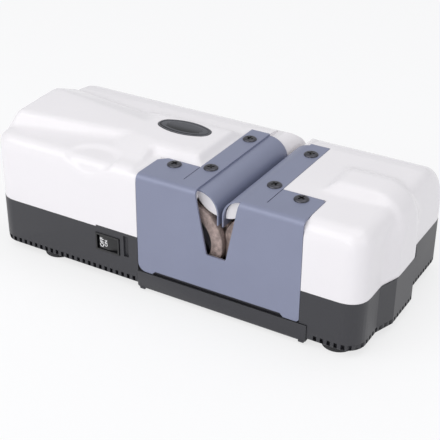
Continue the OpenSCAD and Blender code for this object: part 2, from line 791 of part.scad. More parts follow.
module dust_tray() {
    t = 1.6;
    color(base_grey) {
        translate([tray_x, front_y - fit, 0]) {
            // front panel with a thumb lip, and a toe that reaches under the skirt
            translate([-tray_panel_w / 2, 0, 0]) rotate([90, 0, 90]) linear_extrude(tray_panel_w)
                polygon([[0, tray_top_h], [-1.2, tray_top_h], [-tray_proud + fit, tray_top_h - 1.4],
                    [-tray_proud + fit, tray_gap + 2], [-tray_proud + fit + 2, tray_gap],
                    [5, tray_gap], [5, foot_gap - fit], [0, foot_gap - fit]]);
        }
        translate([tray_x - tray_bin_w / 2, front_y - fit - eps, bin_low_h]) difference() {
            cube([tray_bin_w, tray_d, bin_top_h - bin_low_h]);
            translate([t, t, t]) cube([tray_bin_w - 2 * t, tray_d - 2 * t, 40]);
        }
    }
}

// ---- cable entry ----

module cable_gland() {
    color("#1E1E20") translate([gland_x, back_y, gland_h]) rotate([90, 0, 0]) difference() {
        union() {
            translate([0, 0, -gland_proud]) cylinder(h = gland_proud, r1 = gland_r + 2, r2 = gland_r + 3);
            cylinder(h = 12, r = gland_r);
        }
        cylinder(h = 60, r = cable_d / 2, center = true);
    }
}

module gland_nut() {
    color("#1E1E20") translate([gland_x, back_y - wall, gland_h]) rotate([90, 0, 0]) difference() {
        cylinder(h = 4, r = gland_r + 4.5, $fn = 6);
        cylinder(h = 20, r = gland_r + run_fit, center = true);
    }
}

// ---- bearing frame ----

// Places something on a grinding shaft's axis: side -1 left, 1 right
module on_shaft(side, y) {
    translate([slot_x + side * shaft_dx, y, shaft_h]) rotate([-90, 0, 0]) children();
}

module bearing_plate(y) {
    color(steel) difference() {
        union() {
            for (s = [-1, 1]) on_shaft(s, y) cylinder(h = frame_t, r = bearing_d / 2 + 4.5);
            translate([slot_x - frame_half_w, y, floor_h])
                cube([2 * frame_half_w, frame_t, shaft_h - bearing_d / 2 - floor_h + 4]);
            translate([slot_x - frame_half_w, y, floor_h]) cube([2 * frame_half_w, frame_t + 8, 4]);
        }
        for (s = [-1, 1]) {
            on_shaft(s, y - 1) cylinder(h = frame_t + 2, r = bearing_d / 2);
            translate([slot_x + s * (frame_half_w - 8), y - 1, floor_h + 12]) rotate([-90, 0, 0])
                cylinder(h = frame_t + 2, r = 2.5);
        }
        translate([slot_x, y - 1, shaft_h - 22]) rotate([-90, 0, 0]) cylinder(h = frame_t + 2, r = 2.5);
    }
}

module bearing_plate_front() { bearing_plate(plate_a_y); }
module bearing_plate_rear() { bearing_plate(plate_b_y); }

// Three spacer bars hold the plates apart, each with a stud through both plates
module frame_tie_bars() {
    span = plate_b_y - plate_a_y - frame_t;
    at = [[-frame_half_w + 8, floor_h + 12], [frame_half_w - 8, floor_h + 12], [0, shaft_h - 22]];
    color(steel) for (p = at) translate([slot_x + p[0], plate_a_y, p[1]]) rotate([-90, 0, 0]) {
        translate([0, 0, frame_t]) cylinder(h = span, r = 5);
        translate([0, 0, -3]) cylinder(h = span + 2 * frame_t + 6, r = 2.5);
        for (z = [-3, span + 2 * frame_t]) translate([0, 0, z]) cylinder(h = 3, r = 4.6, $fn = 6);
    }
}

// A ball bearing drawn as two rings and a recessed shield
module ball_bearing(outer_r, bore_r, w) {
    step = (outer_r - bore_r) / 3;
    difference() {
        cylinder(h = w, r = outer_r);
        translate([0, 0, -1]) cylinder(h = w + 2, r = bore_r + run_fit);
        for (z = [-1, w - 0.5]) translate([0, 0, z]) difference() {
            cylinder(h = 1.5, r = outer_r - step);
            cylinder(h = 1.5, r = bore_r + step);
        }
    }
}

module shaft_bearings() {
    color(steel) for (s = [-1, 1], y = [plate_a_y, plate_b_y])
        on_shaft(s, y) ball_bearing(bearing_d / 2, shaft_d / 2, bearing_w);
}

// ---- grinding heads ----

// The right head sits one ring and one gap further back than the left
function head_shift(side) = side < 0 ? 0 : stone_t + stone_gap;

module shaft(side, y_end) {
    y0 = hub_y0 + head_shift(side) - 3.4;
    color(steel) on_shaft(side, y0) {
        cylinder(h = y_end - y0 - 1, r = shaft_d / 2);
        translate([0, 0, y_end - y0 - 1 - eps]) cylinder(h = 1, r1 = shaft_d / 2, r2 = shaft_d / 2 - 1);
        // shoulder collar between the hub and the first bearing
        translate([0, 0, hub_y1 - y0]) cylinder(h = plate_a_y - hub_y1 - fit, r = shaft_d / 2 + 1.5);
    }
}

module left_shaft() { shaft(-1, shaft_end_y); }
module right_shaft() { shaft(1, gear_y + gear_w + 3); }

module hub(side) {
    y0 = hub_y0 + head_shift(side);
    color(steel) on_shaft(side, y0) difference() {
        cylinder(h = hub_y1 - y0, r = stone_bore_r - 0.05);
        translate([0, 0, -1]) cylinder(h = hub_y1 - y0 + 2, r = shaft_d / 2);
        translate([0, 0, -1]) cylinder(h = 2.5, r = stone_bore_r - 3);
    }
}

module left_hub() { hub(-1); }
module right_hub() { hub(1); }

module ring(outer_r, inner_r, t) {
    difference() {
        cylinder(h = t, r = outer_r, $fn = 96);
        translate([0, 0, -1]) cylinder(h = t + 2, r = inner_r);
    }
}

module stones(side) {
    color(stone_brown) for (i = [0 : stone_count - 1])
        on_shaft(side, stone_y0 + head_shift(side) + i * stone_pitch) ring(stone_r, stone_bore_r, stone_t);
}

module left_stones() { stones(-1); }
module right_stones() { stones(1); }

// Spacers fill the gaps that the other shaft's rings run in
module spacers(side) {
    last = side < 0 ? stone_count - 1 : stone_count - 2;
    color(steel) for (i = [0 : last])
        on_shaft(side, stone_y0 + head_shift(side) + i * stone_pitch + stone_t)
            ring(spacer_r, stone_bore_r, stone_pitch - stone_t);
}

module left_spacers() { spacers(-1); }
module right_spacers() { spacers(1); }

module clamp_nut(side) {
    color(dark_steel) on_shaft(side, hub_y0 + head_shift(side) - 1.9) difference() {
        union() {
            cylinder(h = 1.5, r = 8, $fn = 6);
            translate([0, 0, 1.5 - eps]) cylinder(h = 1.9, r = shaft_d / 2 + 6);
        }
        translate([0, 0, -1]) cylinder(h = 8, r = shaft_d / 2);
    }
}

module left_clamp_nut() { clamp_nut(-1); }
module right_clamp_nut() { clamp_nut(1); }

// ---- gears, pulleys and belt ----

// Spur gear outline with straight flanks; one tooth points along +X
module gear_outline(pitch_r, teeth) {
    m = 2 * pitch_r / teeth;
    step = 360 / teeth;
    flank = [[-0.34, -1.15], [-0.225, 0], [-0.11, 0.9], [0.11, 0.9], [0.225, 0], [0.34, -1.15]];
    polygon([for (i = [0 : teeth - 1], f = flank)
        (pitch_r + f[1] * m) * [cos((i + f[0]) * step), sin((i + f[0]) * step)]]);
}

module gear(side, turn) {
    color("#8C8F94") on_shaft(side, gear_y) difference() {
        union() {
            rotate([0, 0, turn]) linear_extrude(gear_w) gear_outline(shaft_dx, gear_teeth);
            translate([0, 0, gear_w - eps]) cylinder(h = 2, r = shaft_d / 2 + 4);
        }
        translate([0, 0, -1]) cylinder(h = gear_w + 4, r = shaft_d / 2);
        for (z = [-1, gear_w - 1.5]) translate([0, 0, z])
            ring(shaft_dx - 5.5, shaft_d / 2 + 5, 2.5);
    }
}

module left_gear() { gear(-1, 0); }
module right_gear() { gear(1, 180 / gear_teeth); }

module flat_pulley(r, bore_r) {
    difference() {
        union() {
            for (z = [0, belt_w + pulley_rim]) translate([0, 0, z]) cylinder(h = pulley_rim, r = r + 2.4);
            cylinder(h = belt_w + 2 * pulley_rim, r = r);
        }
        translate([0, 0, -1]) cylinder(h = belt_w + 2 * pulley_rim + 2, r = bore_r);
    }
}

module driven_pulley() {
    color("#8C8F94") on_shaft(-1, belt_y - pulley_rim) flat_pulley(driven_r, shaft_d / 2);
}

// Places something on the motor's axis
module on_motor(y) {
    translate([motor_x, y, motor_h]) rotate([-90, 0, 0]) children();
}

module drive_pulley() {
    color("#8C8F94") on_motor(belt_y - pulley_rim) flat_pulley(drive_r, rotor_shaft_r);
}

// Outline of a belt's path round both pulleys, at a distance from their rims
module belt_loop(grow) {
    a = [motor_x, motor_h];
    b = [slot_x - shaft_dx, shaft_h];
    ra = drive_r + grow;
    rb = driven_r + grow;
    lean = atan2(b[1] - a[1], b[0] - a[0]);
    turn = acos((ra - rb) / norm(b - a));
    steps = 24;
    polygon(concat(
        [for (i = [0 : steps]) b + rb * [cos(lean - turn + i * 2 * turn / steps),
            sin(lean - turn + i * 2 * turn / steps)]],
        [for (i = [0 : steps]) a + ra * [cos(lean + turn + i * (360 - 2 * turn) / steps),
            sin(lean + turn + i * (360 - 2 * turn) / steps)]]));
}

module drive_belt() {
    color("#202022") translate([0, belt_y + belt_w - fit, 0]) rotate([90, 0, 0])
        linear_extrude(belt_w - 2 * fit) difference() {
            belt_loop(fit + 1.4);
            belt_loop(fit);
        }
}

// ---- motor ----

module motor_cradle() {
    color(steel) difference() {
        union() {
            for (y = [motor_y0 + 6, motor_y1 - 14]) translate([motor_x - 30, y, floor_h])
                cube([60, 8, motor_h - floor_h - 14]);
            translate([motor_x - 30, motor_y0 + 6, floor_h]) cube([60, motor_l - 12, 3]);
        }
        on_motor(motor_y0 - 5) cylinder(h = motor_l + 10, r = motor_d / 2 + run_fit);
        for (i = [-3 : 3]) translate([motor_x + 8 * i - 1.5, motor_y0 + 16, 0])
            cube([3, motor_l - 32, 20]);
    }
}

module motor_case() {
    color(steel) on_motor(motor_y0) difference() {
        cylinder(h = motor_l, r = motor_d / 2);
        translate([0, 0, -1]) cylinder(h = motor_l + 2, r = motor_d / 2 - 1.8);
    }
}

// End bell: a shallow cup with cooling windows and a seat for the bearing
module end_bell() {
    r = motor_d / 2 - 0.4;
    color(steel) difference() {
        union() {
            cylinder(h = bell_t, r1 = r, r2 = r - 5);
            translate([0, 0, -6]) cylinder(h = 6 + eps, r = motor_bearing_r + 3);
        }
        translate([0, 0, -eps]) difference() {
            cylinder(h = bell_t - 3, r1 = r - 3, r2 = r - 8);
            translate([0, 0, -1]) cylinder(h = 20, r = motor_bearing_r + 3);
        }
        translate([0, 0, -7]) cylinder(h = 30, r = rotor_shaft_r + 1);
        translate([0, 0, -7]) cylinder(h = 8, r = motor_bearing_r);
        for (a = [0 : 60 : 300]) rotate([0, 0, a]) translate([motor_bearing_r + 6, -4, 0])
            cube([r - motor_bearing_r - 17, 8, 30]);
    }
}

module motor_rear_bell() { on_motor(motor_y1) end_bell(); }
module motor_front_bell() { on_motor(motor_y0) mirror([0, 0, 1]) end_bell(); }

module motor_bearings() {
    color(steel) {
        on_motor(motor_y0 - 1) ball_bearing(motor_bearing_r, rotor_shaft_r, 7);
        on_motor(motor_y1 - 6) ball_bearing(motor_bearing_r, rotor_shaft_r, 7);
    }
}

// Laminated stator with open slots towards the rotor
module stator_core() {
    r = motor_d / 2 - 1.8;
    color("#6F7277") on_motor(motor_y0 + 13) difference() {
        cylinder(h = motor_l - 26, r = r);
        translate([0, 0, -1]) cylinder(h = motor_l, r = rotor_r + 0.5);
        for (a = [0 : 15 : 345]) rotate([0, 0, a]) translate([rotor_r, -1, -1])
            cube([r - rotor_r - 6, 2, motor_l]);
    }
}

// End turns of the winding at both ends of the stator
module motor_winding() {
    r = motor_d / 2 - 1.8;
    w = r - rotor_r - 6;
    color("#B87333") on_motor(0) for (y = [motor_y0 + 8.5, motor_y1 - 13]) translate([0, 0, y])
        rotate_extrude() translate([rotor_r + 2.5, 0]) {
            translate([1, 0]) square([w - 2, 4.5]);
            translate([0, 1]) square([w, 2.5]);
        }
}

module rotor_shaft() {
    y0 = motor_y0 - bell_t - 16;
    color(steel) on_motor(y0) cylinder(h = belt_y + belt_w + pulley_rim + 3 - y0, r = rotor_shaft_r);
}

module rotor_core() {
    color("#6F7277") on_motor(motor_y0 + 11) difference() {
        union() {
            cylinder(h = motor_l - 22, r = rotor_r);
        }
        translate([0, 0, -1]) cylinder(h = motor_l, r = rotor_shaft_r);
        for (z = [-1, motor_l - 24]) translate([0, 0, z]) ring(rotor_r - 3, rotor_shaft_r + 4, 3);
    }
}

module cooling_fan() {
    r = motor_d / 2 - 8;
    color("#2A2A2D") on_motor(motor_y0 - bell_t - 13) difference() {
        union() {
            cylinder(h = 10, r = 8);
            for (a = [0 : 360 / 9 : 359]) rotate([0, 0, a]) translate([6, -0.8, 1]) cube([r - 6, 1.6, 9]);
            cylinder(h = 1.5, r = r);
        }
        translate([0, 0, -1]) cylinder(h = 20, r = rotor_shaft_r);
    }
}

module run_capacitor() {
    color("#D8D8D8") translate([cap_x, cap_y, floor_h]) {
        cylinder(h = 52, r = cap_r);
        for (s = [-1, 1]) translate([s * 5 - 0.4, -3, 52 - eps]) cube([0.8, 6, 7]);
    }
}

top_shell();
base_tub();
bottom_cover();
cover_screws();
feet();
foot_screws();
front_plate();
guide_left();
guide_right();
plate_screws();
badge();
switch_body();
switch_rocker();
dust_tray();
cable_gland();
gland_nut();
bearing_plate_front();
bearing_plate_rear();
frame_tie_bars();
shaft_bearings();
left_shaft();
left_hub();
left_stones();
left_spacers();
left_clamp_nut();
left_gear();
driven_pulley();
right_shaft();
right_hub();
right_stones();
right_spacers();
right_clamp_nut();
right_gear();
drive_belt();
motor_cradle();
motor_case();
motor_front_bell();
motor_rear_bell();
motor_bearings();
stator_core();
motor_winding();
rotor_shaft();
rotor_core();
cooling_fan();
drive_pulley();
run_capacitor();
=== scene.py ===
import math

import bmesh
import bpy
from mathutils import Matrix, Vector


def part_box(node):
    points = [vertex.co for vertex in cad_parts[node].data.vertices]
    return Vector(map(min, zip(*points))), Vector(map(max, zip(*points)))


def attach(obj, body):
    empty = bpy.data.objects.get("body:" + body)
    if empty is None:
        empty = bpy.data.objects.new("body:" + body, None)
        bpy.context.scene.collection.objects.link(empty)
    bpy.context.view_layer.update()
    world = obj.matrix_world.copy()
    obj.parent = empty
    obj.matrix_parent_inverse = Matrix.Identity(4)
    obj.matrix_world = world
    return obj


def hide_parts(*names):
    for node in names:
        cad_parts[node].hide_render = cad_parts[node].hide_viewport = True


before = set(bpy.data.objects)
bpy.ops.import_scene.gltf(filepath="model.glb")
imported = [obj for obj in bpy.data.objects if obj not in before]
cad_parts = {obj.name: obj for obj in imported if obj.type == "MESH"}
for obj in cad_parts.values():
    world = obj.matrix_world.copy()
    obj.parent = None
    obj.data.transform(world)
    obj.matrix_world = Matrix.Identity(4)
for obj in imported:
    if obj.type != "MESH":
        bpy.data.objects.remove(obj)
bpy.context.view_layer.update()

bl_info = {
    "name": "Electric Knife Sharpener",
    "version": (1, 0, 0),
    "blender": (4, 5, 0),
    "location": "3D View > Sidebar > Sharpener",
    "description": "Builds the finished surfaces of a bench-top knife sharpener around its packed solids",
    "category": "Object",
}

# Lengths in this script are millimetres; MM turns them into metres.
MM = 0.001

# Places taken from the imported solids, in millimetres
PLATE_LO, PLATE_HI = (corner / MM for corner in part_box("front_plate"))
SHELL_LO, SHELL_HI = (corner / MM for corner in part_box("top_shell"))
BADGE_LO, BADGE_HI = (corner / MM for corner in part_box("badge"))
ROCKER_LO, ROCKER_HI = (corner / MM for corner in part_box("switch_rocker"))
GLAND_LO, GLAND_HI = (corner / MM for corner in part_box("cable_gland"))
TRAY_LO, TRAY_HI = (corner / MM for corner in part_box("dust_tray"))
BADGE_X = (BADGE_LO.x + BADGE_HI.x) / 2
ROCKER_X = (ROCKER_LO.x + ROCKER_HI.x) / 2
ROCKER_H = (ROCKER_LO.z + ROCKER_HI.z) / 2
TRAY_X = (TRAY_LO.x + TRAY_HI.x) / 2
# where the raised band narrows to the badge's plateau
NECK_X = BADGE_X - 31
SLOT_X = (PLATE_LO.x + PLATE_HI.x) / 2
FRONT_Y = PLATE_LO.y
BACK = SHELL_HI.y - FRONT_Y
PART_H = SHELL_LO.z
TOP_H = PLATE_HI.z
PLATE_HALF = (PLATE_HI.x - PLATE_LO.x) / 2
GUIDE_L = PLATE_HI.y - FRONT_Y
BULGE = 6
BULGE_RUN = 17
BULGE_Y = (32, 102)
FOOT_GAP = 6
VENT_PITCH = 5.3
END_X = SHELL_HI.x - BULGE
TRAY_BIN_LOW = 8.9
TRAY_BIN_TOP = 17.5
WALL = 3
FIT = 0.3
PLATE_T = 1.5
GUIDE_T = 1.2
STEP_H = 1.2
MOUTH_HALF = 18
STRIP_HALF = 34
FLANGE_D = 35
BEND_R = 5
GUIDE_R = 16.5
GUIDE_C_H = TOP_H - PLATE_T - GUIDE_R
# cutters start this far in front of the face and end above everything
AHEAD = -6
SKY_H = 130
# the base's edge beside the switch is raised from this far left of the rocker's middle
STEP_REACH = 11
# the ribs in the mouth start this far behind the front face
RIB_Y = 9
# the base: inside floor, screw posts, tray opening, switch opening, finger groove, gland bore
BASE_FLOOR_H = 8.5
POST_R, POST_HOLE_R = 5.5, 2.05
TRAY_OPEN_HALF, TRAY_OPEN_H = 56.4, 17.9
SWITCH_OPEN_HALF, SWITCH_OPEN_HALF_H = 10.6, 7.1
GROOVE_DX, GROOVE_R = 16.4, 2.2
GLAND_BORE_R = 7.8


# ---- small helpers ----


def at(x, y, h):
    """A point from millimetres: X in the frame, Y back from the front face, height over the table"""
    return Vector((x * MM, (FRONT_Y + y) * MM, h * MM))


def linear(colour_hex):
    """The linear colour of an sRGB hex value such as #EDEDF0"""
    parts = [int(colour_hex[i : i + 2], 16) / 255 for i in (1, 3, 5)]
    return [c / 12.92 if c <= 0.04045 else ((c + 0.055) / 1.055) ** 2.4 for c in parts] + [1.0]


def deselect_all():
    """Leaves edit mode and leaves nothing selected"""
    if bpy.context.object and bpy.context.object.mode != "OBJECT":
        bpy.ops.object.mode_set(mode="OBJECT")
    bpy.ops.object.select_all(action="DESELECT")


def make_active(piece):
    """Selects one object alone"""
    deselect_all()
    piece.select_set(True)
    bpy.context.view_layer.objects.active = piece


def settle(piece, name):
    """Names a finished piece and moves its place into its mesh"""
    make_active(piece)
    bpy.ops.object.transform_apply(location=True, rotation=True, scale=True)
    piece.name = name
    piece.data.name = name
    return piece


def edit(piece):
    """Goes into edit mode on one object with nothing selected"""
    make_active(piece)
    bpy.ops.object.mode_set(mode="EDIT")
    bpy.ops.mesh.select_all(action="DESELECT")


def pick(piece, kind, test):
    """Selects the faces, edges or vertices that pass a test, in edit mode"""
    bpy.ops.mesh.select_mode(type={"faces": "FACE", "edges": "EDGE", "verts": "VERT"}[kind])
    mesh = bmesh.from_edit_mesh(piece.data)
    found = 0
    for element in getattr(mesh, kind):
        if test(element):
            element.select_set(True)
            found += 1
    mesh.select_flush_mode()
    bmesh.update_edit_mesh(piece.data)
    return found


def leave_edit():
    bpy.ops.object.mode_set(mode="OBJECT")


def arc(centre, radius, start, end, steps):
    """Points along an arc of a circle, angles in degrees"""
    turns = [math.radians(start + (end - start) * i / steps) for i in range(steps + 1)]
    return [(centre[0] + radius * math.cos(t), centre[1] + radius * math.sin(t)) for t in turns]


def prism(outline, axis, start, end):
    """A bar of any outline: (y, h) points along x, (x, h) along y or (x, y) along z"""
    place = {
        "x": lambda along, p: at(along, p[0], p[1]),
        "y": lambda along, p: at(p[0], along, p[1]),
        "z": lambda along, p: at(p[0], p[1], along),
    }[axis]
    deselect_all()
    bpy.ops.mesh.primitive_circle_add(vertices=len(outline), radius=1, fill_type="NGON")
    bar = bpy.context.object
    for vertex, point in zip(bar.data.vertices, outline):
        vertex.co = place(start, point)
    bpy.ops.object.mode_set(mode="EDIT")
    bpy.ops.mesh.select_all(action="SELECT")
    move = place(end, outline[0]) - place(start, outline[0])
    bpy.ops.mesh.extrude_region_move(TRANSFORM_OT_translate={"value": move})
    bpy.ops.mesh.select_all(action="SELECT")
    bpy.ops.mesh.normals_make_consistent(inside=False)
    leave_edit()
    return bar


def block(low, high):
    """A box between two corners"""
    outline = [(low[0], low[1]), (high[0], low[1]), (high[0], high[1]), (low[0], high[1])]
    return prism(outline, "z", low[2], high[2])


def turn(profile, centre, axis, steps=64):
    """A solid of revolution: (radius, along) points turned about an upright line or one along Y"""
    deselect_all()
    bpy.ops.mesh.primitive_circle_add(vertices=len(profile), radius=1, fill_type="NOTHING")
    solid = bpy.context.object
    for vertex, (radius, along) in zip(solid.data.vertices, profile):
        vertex.co = at(centre[0] + radius, centre[1] + (along if axis == "y" else 0),
                       centre[2] + (along if axis == "z" else 0))
    bpy.ops.object.mode_set(mode="EDIT")
    bpy.ops.mesh.select_all(action="SELECT")
    line = {"y": (0, 1, 0), "z": (0, 0, 1)}[axis]
    bpy.ops.mesh.spin(steps=steps, angle=2 * math.pi, center=at(*centre), axis=line)
    bpy.ops.mesh.select_all(action="SELECT")
    bpy.ops.mesh.remove_doubles(threshold=0.002 * MM)
    bpy.ops.mesh.dissolve_degenerate(threshold=0.001 * MM)
    bpy.ops.mesh.select_all(action="SELECT")
    bpy.ops.mesh.normals_make_consistent(inside=False)
    leave_edit()
    return solid


def rod(centre, radius, low, high, sides=32):
    """An upright round bar"""
    points = arc((centre[0], centre[1]), radius, 0, 360 - 360 / sides, sides - 1)
    return prism(points, "z", low, high)


def ball_hull(balls, segments=24):
    """The tight skin round a set of balls, each (x, y, height, radius)"""
    deselect_all()
    for i, (x, y, h, radius) in enumerate(balls):
        bpy.ops.mesh.primitive_uv_sphere_add(
            segments=segments, ring_count=segments // 2, radius=radius * MM, location=at(x, y, h)
        )
        if i == 0:
            hull = bpy.context.object
            bpy.ops.object.transform_apply(location=True)
            bpy.ops.object.mode_set(mode="EDIT")
    bpy.ops.mesh.select_all(action="SELECT")
    bpy.ops.mesh.convex_hull()
    leave_edit()
    return hull


def join(pieces):
    """Joins several meshes into the first"""
    deselect_all()
    for piece in pieces:
        piece.select_set(True)
    bpy.context.view_layer.objects.active = pieces[0]
    bpy.ops.object.join()
    return pieces[0]


def add_modifier(piece, kind, **settings):
    """Adds a modifier and applies it"""
    make_active(piece)
    made = piece.modifiers.new(kind.title(), kind)
    for name, value in settings.items():
        setattr(made, name, value)
    bpy.ops.object.modifier_apply(modifier=made.name)


def combine(piece, other, operation, solver="MANIFOLD"):
    """Joins, cuts or meets two solids and drops the second"""
    add_modifier(piece, "BOOLEAN", operation=operation, object=other, solver=solver)
    bpy.data.objects.remove(other)


def cut(piece, *tools, solver="MANIFOLD"):
    """Cuts solids out of a piece, one after the other"""
    for tool in tools:
        combine(piece, tool, "DIFFERENCE", solver)


def copy_of(piece, move=(0, 0, 0), turned=0, centre=None):
    """A copy with its own mesh, moved in millimetres and turned about an upright line"""
    make_active(piece)
    bpy.ops.object.duplicate()
    twin = bpy.context.object
    if turned:
        bpy.ops.transform.rotate(value=math.radians(turned), orient_axis="Z", center_override=at(*centre))
    bpy.ops.transform.translate(value=[m * MM for m in move])
    bpy.ops.object.transform_apply(location=True, rotation=True)
    return twin


def set_down(piece, angle, spot):
    """Turns a piece made at the frame's front middle and moves it to a spot"""
    make_active(piece)
    bpy.ops.transform.rotate(value=angle, orient_axis="Z", center_override=at(0, 0, 0))
    bpy.ops.transform.translate(value=at(*spot) - at(0, 0, 0))
    bpy.ops.object.transform_apply(location=True, rotation=True)


def loose_boxes(node):
    """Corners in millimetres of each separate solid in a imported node, as (x, y from the front, height)"""
    mesh = bmesh.new()
    mesh.from_mesh(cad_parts[node].data)
    bmesh.ops.remove_doubles(mesh, verts=mesh.verts, dist=0.001 * MM)
    left = set(mesh.verts)
    boxes = []
    while left:
        front = [left.pop()]
        found = list(front)
        while front:
            near = [e.other_vert(v) for v in front for e in v.link_edges]
            front = [v for v in set(near) if v in left]
            left.difference_update(front)
            found += front
        low, high = (Vector([f(v.co[k] for v in found) / MM for k in range(3)]) for f in (min, max))
        boxes.append((low - Vector((0, FRONT_Y, 0)), high - Vector((0, FRONT_Y, 0))))
    mesh.free()
    return sorted(boxes, key=lambda box: tuple(round(c, 2) for c in box[0]))


def smooth(piece, angle=30):
    """Smooth shading with crisp edges past an angle, in degrees"""
    make_active(piece)
    bpy.ops.object.shade_smooth_by_angle(angle=math.radians(angle))


def finish_piece(piece, name, body, material, slot, *nodes):
    """Names a piece, gives it its material, ties it to its body and hides the nodes that it stands for"""
    settle(piece, name)
    if material:
        piece.data.materials.clear()
        piece.data.materials.append(material)
    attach(piece, body)
    if nodes:
        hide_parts(*nodes)
    return piece


def add_node(tree, kind, settings=None, inputs=None):
    """Adds a shader node with its settings, values and links"""
    made = tree.nodes.new(kind)
    for name, value in (settings or {}).items():
        setattr(made, name, value)
    for socket, value in (inputs or {}).items():
        if isinstance(value, bpy.types.NodeSocket):
            tree.links.new(value, made.inputs[socket])
        else:
            made.inputs[socket].default_value = value
    return made


def start_material(name):
    """A new material's tree and its Principled shader"""
    material = bpy.data.materials.new(name)
    material.use_nodes = True
    tree = material.node_tree
    return material, tree, tree.nodes["Principled BSDF"]


# ---- sizes and colours a user would change ----


class ShellSettings(bpy.types.PropertyGroup):
    """Sizes of the white moulded shell"""

    voxel: bpy.props.FloatProperty(
        name="Mesh cell", description="Cell size of the moulded form's mesh", default=1.6, min=1, max=4
    )
    soften: bpy.props.IntProperty(
        name="Soften", description="Smoothing passes over the form's creases", default=8, min=0, max=60
    )
    left_h: bpy.props.FloatProperty(
        name="Left shelf", description="Height of the left shelf at its front, mm", default=100.0
    )
    front_r: bpy.props.FloatProperty(
        name="Front corner", description="Plan radius of the front corners, mm", default=15.0
    )
    back_r: bpy.props.FloatProperty(
        name="Back corner", description="Plan radius of the back corners, mm", default=10.0
    )
    crown_r: bpy.props.FloatProperty(
        name="Crown", description="Radius of the long top edge at the back, mm", default=42.0
    )
    band_rise: bpy.props.FloatProperty(
        name="Band rise", description="Height of the raised band over the flat top, mm", default=6.0
    )


class ColourSettings(bpy.types.PropertyGroup):
    """Colours of the main finishes, as sRGB hex values"""

    shell: bpy.props.StringProperty(name="Shell", description="White ABS of the shell", default="#EEEBED")
    base: bpy.props.StringProperty(name="Base", description="Dark grey ABS of the base", default="#303035")
    plate: bpy.props.StringProperty(name="Plate", description="Blue-grey powder coat", default="#868BA2")
    ring: bpy.props.StringProperty(name="Ring", description="Bonded abrasive grain", default="#C9B4AD")
    screw: bpy.props.StringProperty(name="Screw", description="Blackened steel", default="#58585E")
    badge: bpy.props.StringProperty(name="Badge", description="Paler end of the badge", default="#4A4B50")


def shell_settings():
    return bpy.context.scene.sharpener_shell


def colours():
    return bpy.context.scene.sharpener_colours


# ---- materials ----


def object_place(tree):
    """Object coordinates, the only ones that the patterns use"""
    return add_node(tree, "ShaderNodeTexCoord").outputs["Object"]


def noise(tree, place, size_mm, detail):
    """Noise whose cells are about this many millimetres wide"""
    inputs = {"Vector": place, "Scale": 1 / (size_mm * MM), "Detail": detail}
    return add_node(tree, "ShaderNodeTexNoise", inputs=inputs).outputs["Fac"]


def tint_by(tree, shader, colour, factor, low, high):
    """Colours a surface between two shades of one colour"""
    tint = add_node(tree, "ShaderNodeMix", {"data_type": "RGBA"}, {"Factor": factor})
    for side, share in (("A", low), ("B", high)):
        tint.inputs[side].default_value = [min(1, c * share) for c in linear(colour)[:3]] + [1]
    tree.links.new(tint.outputs["Result"], shader.inputs["Base Color"])


def relief(tree, shader, height, depth_mm, edge_mm=0):
    """Bump from a pattern, over edges that the shading rounds"""
    inputs = {"Strength": 1.0, "Distance": depth_mm * MM, "Height": height}
    if edge_mm:
        rounded = add_node(tree, "ShaderNodeBevel", {"samples": 4}, {"Radius": edge_mm * MM})
        inputs["Normal"] = rounded.outputs["Normal"]
    bump = add_node(tree, "ShaderNodeBump", inputs=inputs)
    tree.links.new(bump.outputs["Normal"], shader.inputs["Normal"])


def moulded_abs(name, colour, roughness, grain_mm, grain_depth, edge_mm):
    """Injection-moulded plastic or rubber: satin over a fine grain, with rounded edges"""
    material, tree, shader = start_material(name)
    place = object_place(tree)
    # flow marks: very slight, wide variation of the colour
    tint_by(tree, shader, colour, noise(tree, place, 60, 2.0), 0.97, 1.02)
    shader.inputs["Roughness"].default_value = roughness
    shader.inputs["IOR"].default_value = 1.53
    # the grain is drawn coarser than life so that it shows at this size
    relief(tree, shader, noise(tree, place, grain_mm, 3.0), grain_depth, edge_mm)
    return material


def powder_coat(name, colour):
    """Powder-coated sheet steel: satin, slightly pebbled, with softened edges"""
    material, tree, shader = start_material(name)
    place = object_place(tree)
    tint_by(tree, shader, colour, noise(tree, place, 25, 4.0), 0.95, 1.05)
    shader.inputs["Metallic"].default_value = 0.25
    shader.inputs["Roughness"].default_value = 0.42
    shader.inputs["Coat Weight"].default_value = 0.15
    shader.inputs["Coat Roughness"].default_value = 0.3
    # cured powder leaves pebbles about a millimetre apart
    relief(tree, shader, noise(tree, place, 0.9, 2.0), 0.012, 0.4)
    return material


def bonded_abrasive(name, colour):
    """Vitrified grinding ring: pale grain in a darker bond, with open pores"""
    material, tree, shader = start_material(name)
    place = object_place(tree)
    # grit 220 is too fine to show, so the grain is drawn at 0.8 mm
    grit = add_node(tree, "ShaderNodeTexVoronoi", inputs={"Vector": place, "Scale": 1 / (0.8 * MM)})
    ramp = add_node(tree, "ShaderNodeValToRGB", inputs={"Fac": noise(tree, place, 3.5, 6.0)})
    base = linear(colour)
    ramp.color_ramp.elements[0].position = 0.36
    ramp.color_ramp.elements[0].color = [c * 0.62 for c in base[:3]] + [1]
    ramp.color_ramp.elements[1].position = 0.62
    ramp.color_ramp.elements[1].color = base
    speck = add_node(
        tree,
        "ShaderNodeMix",
        {"data_type": "RGBA", "blend_type": "MULTIPLY"},
        {"Factor": 0.35, "A": ramp.outputs["Color"], "B": grit.outputs["Distance"]},
    )
    tree.links.new(speck.outputs["Result"], shader.inputs["Base Color"])
    shader.inputs["Roughness"].default_value = 0.95
    relief(tree, shader, grit.outputs["Distance"], 0.25)
    return material


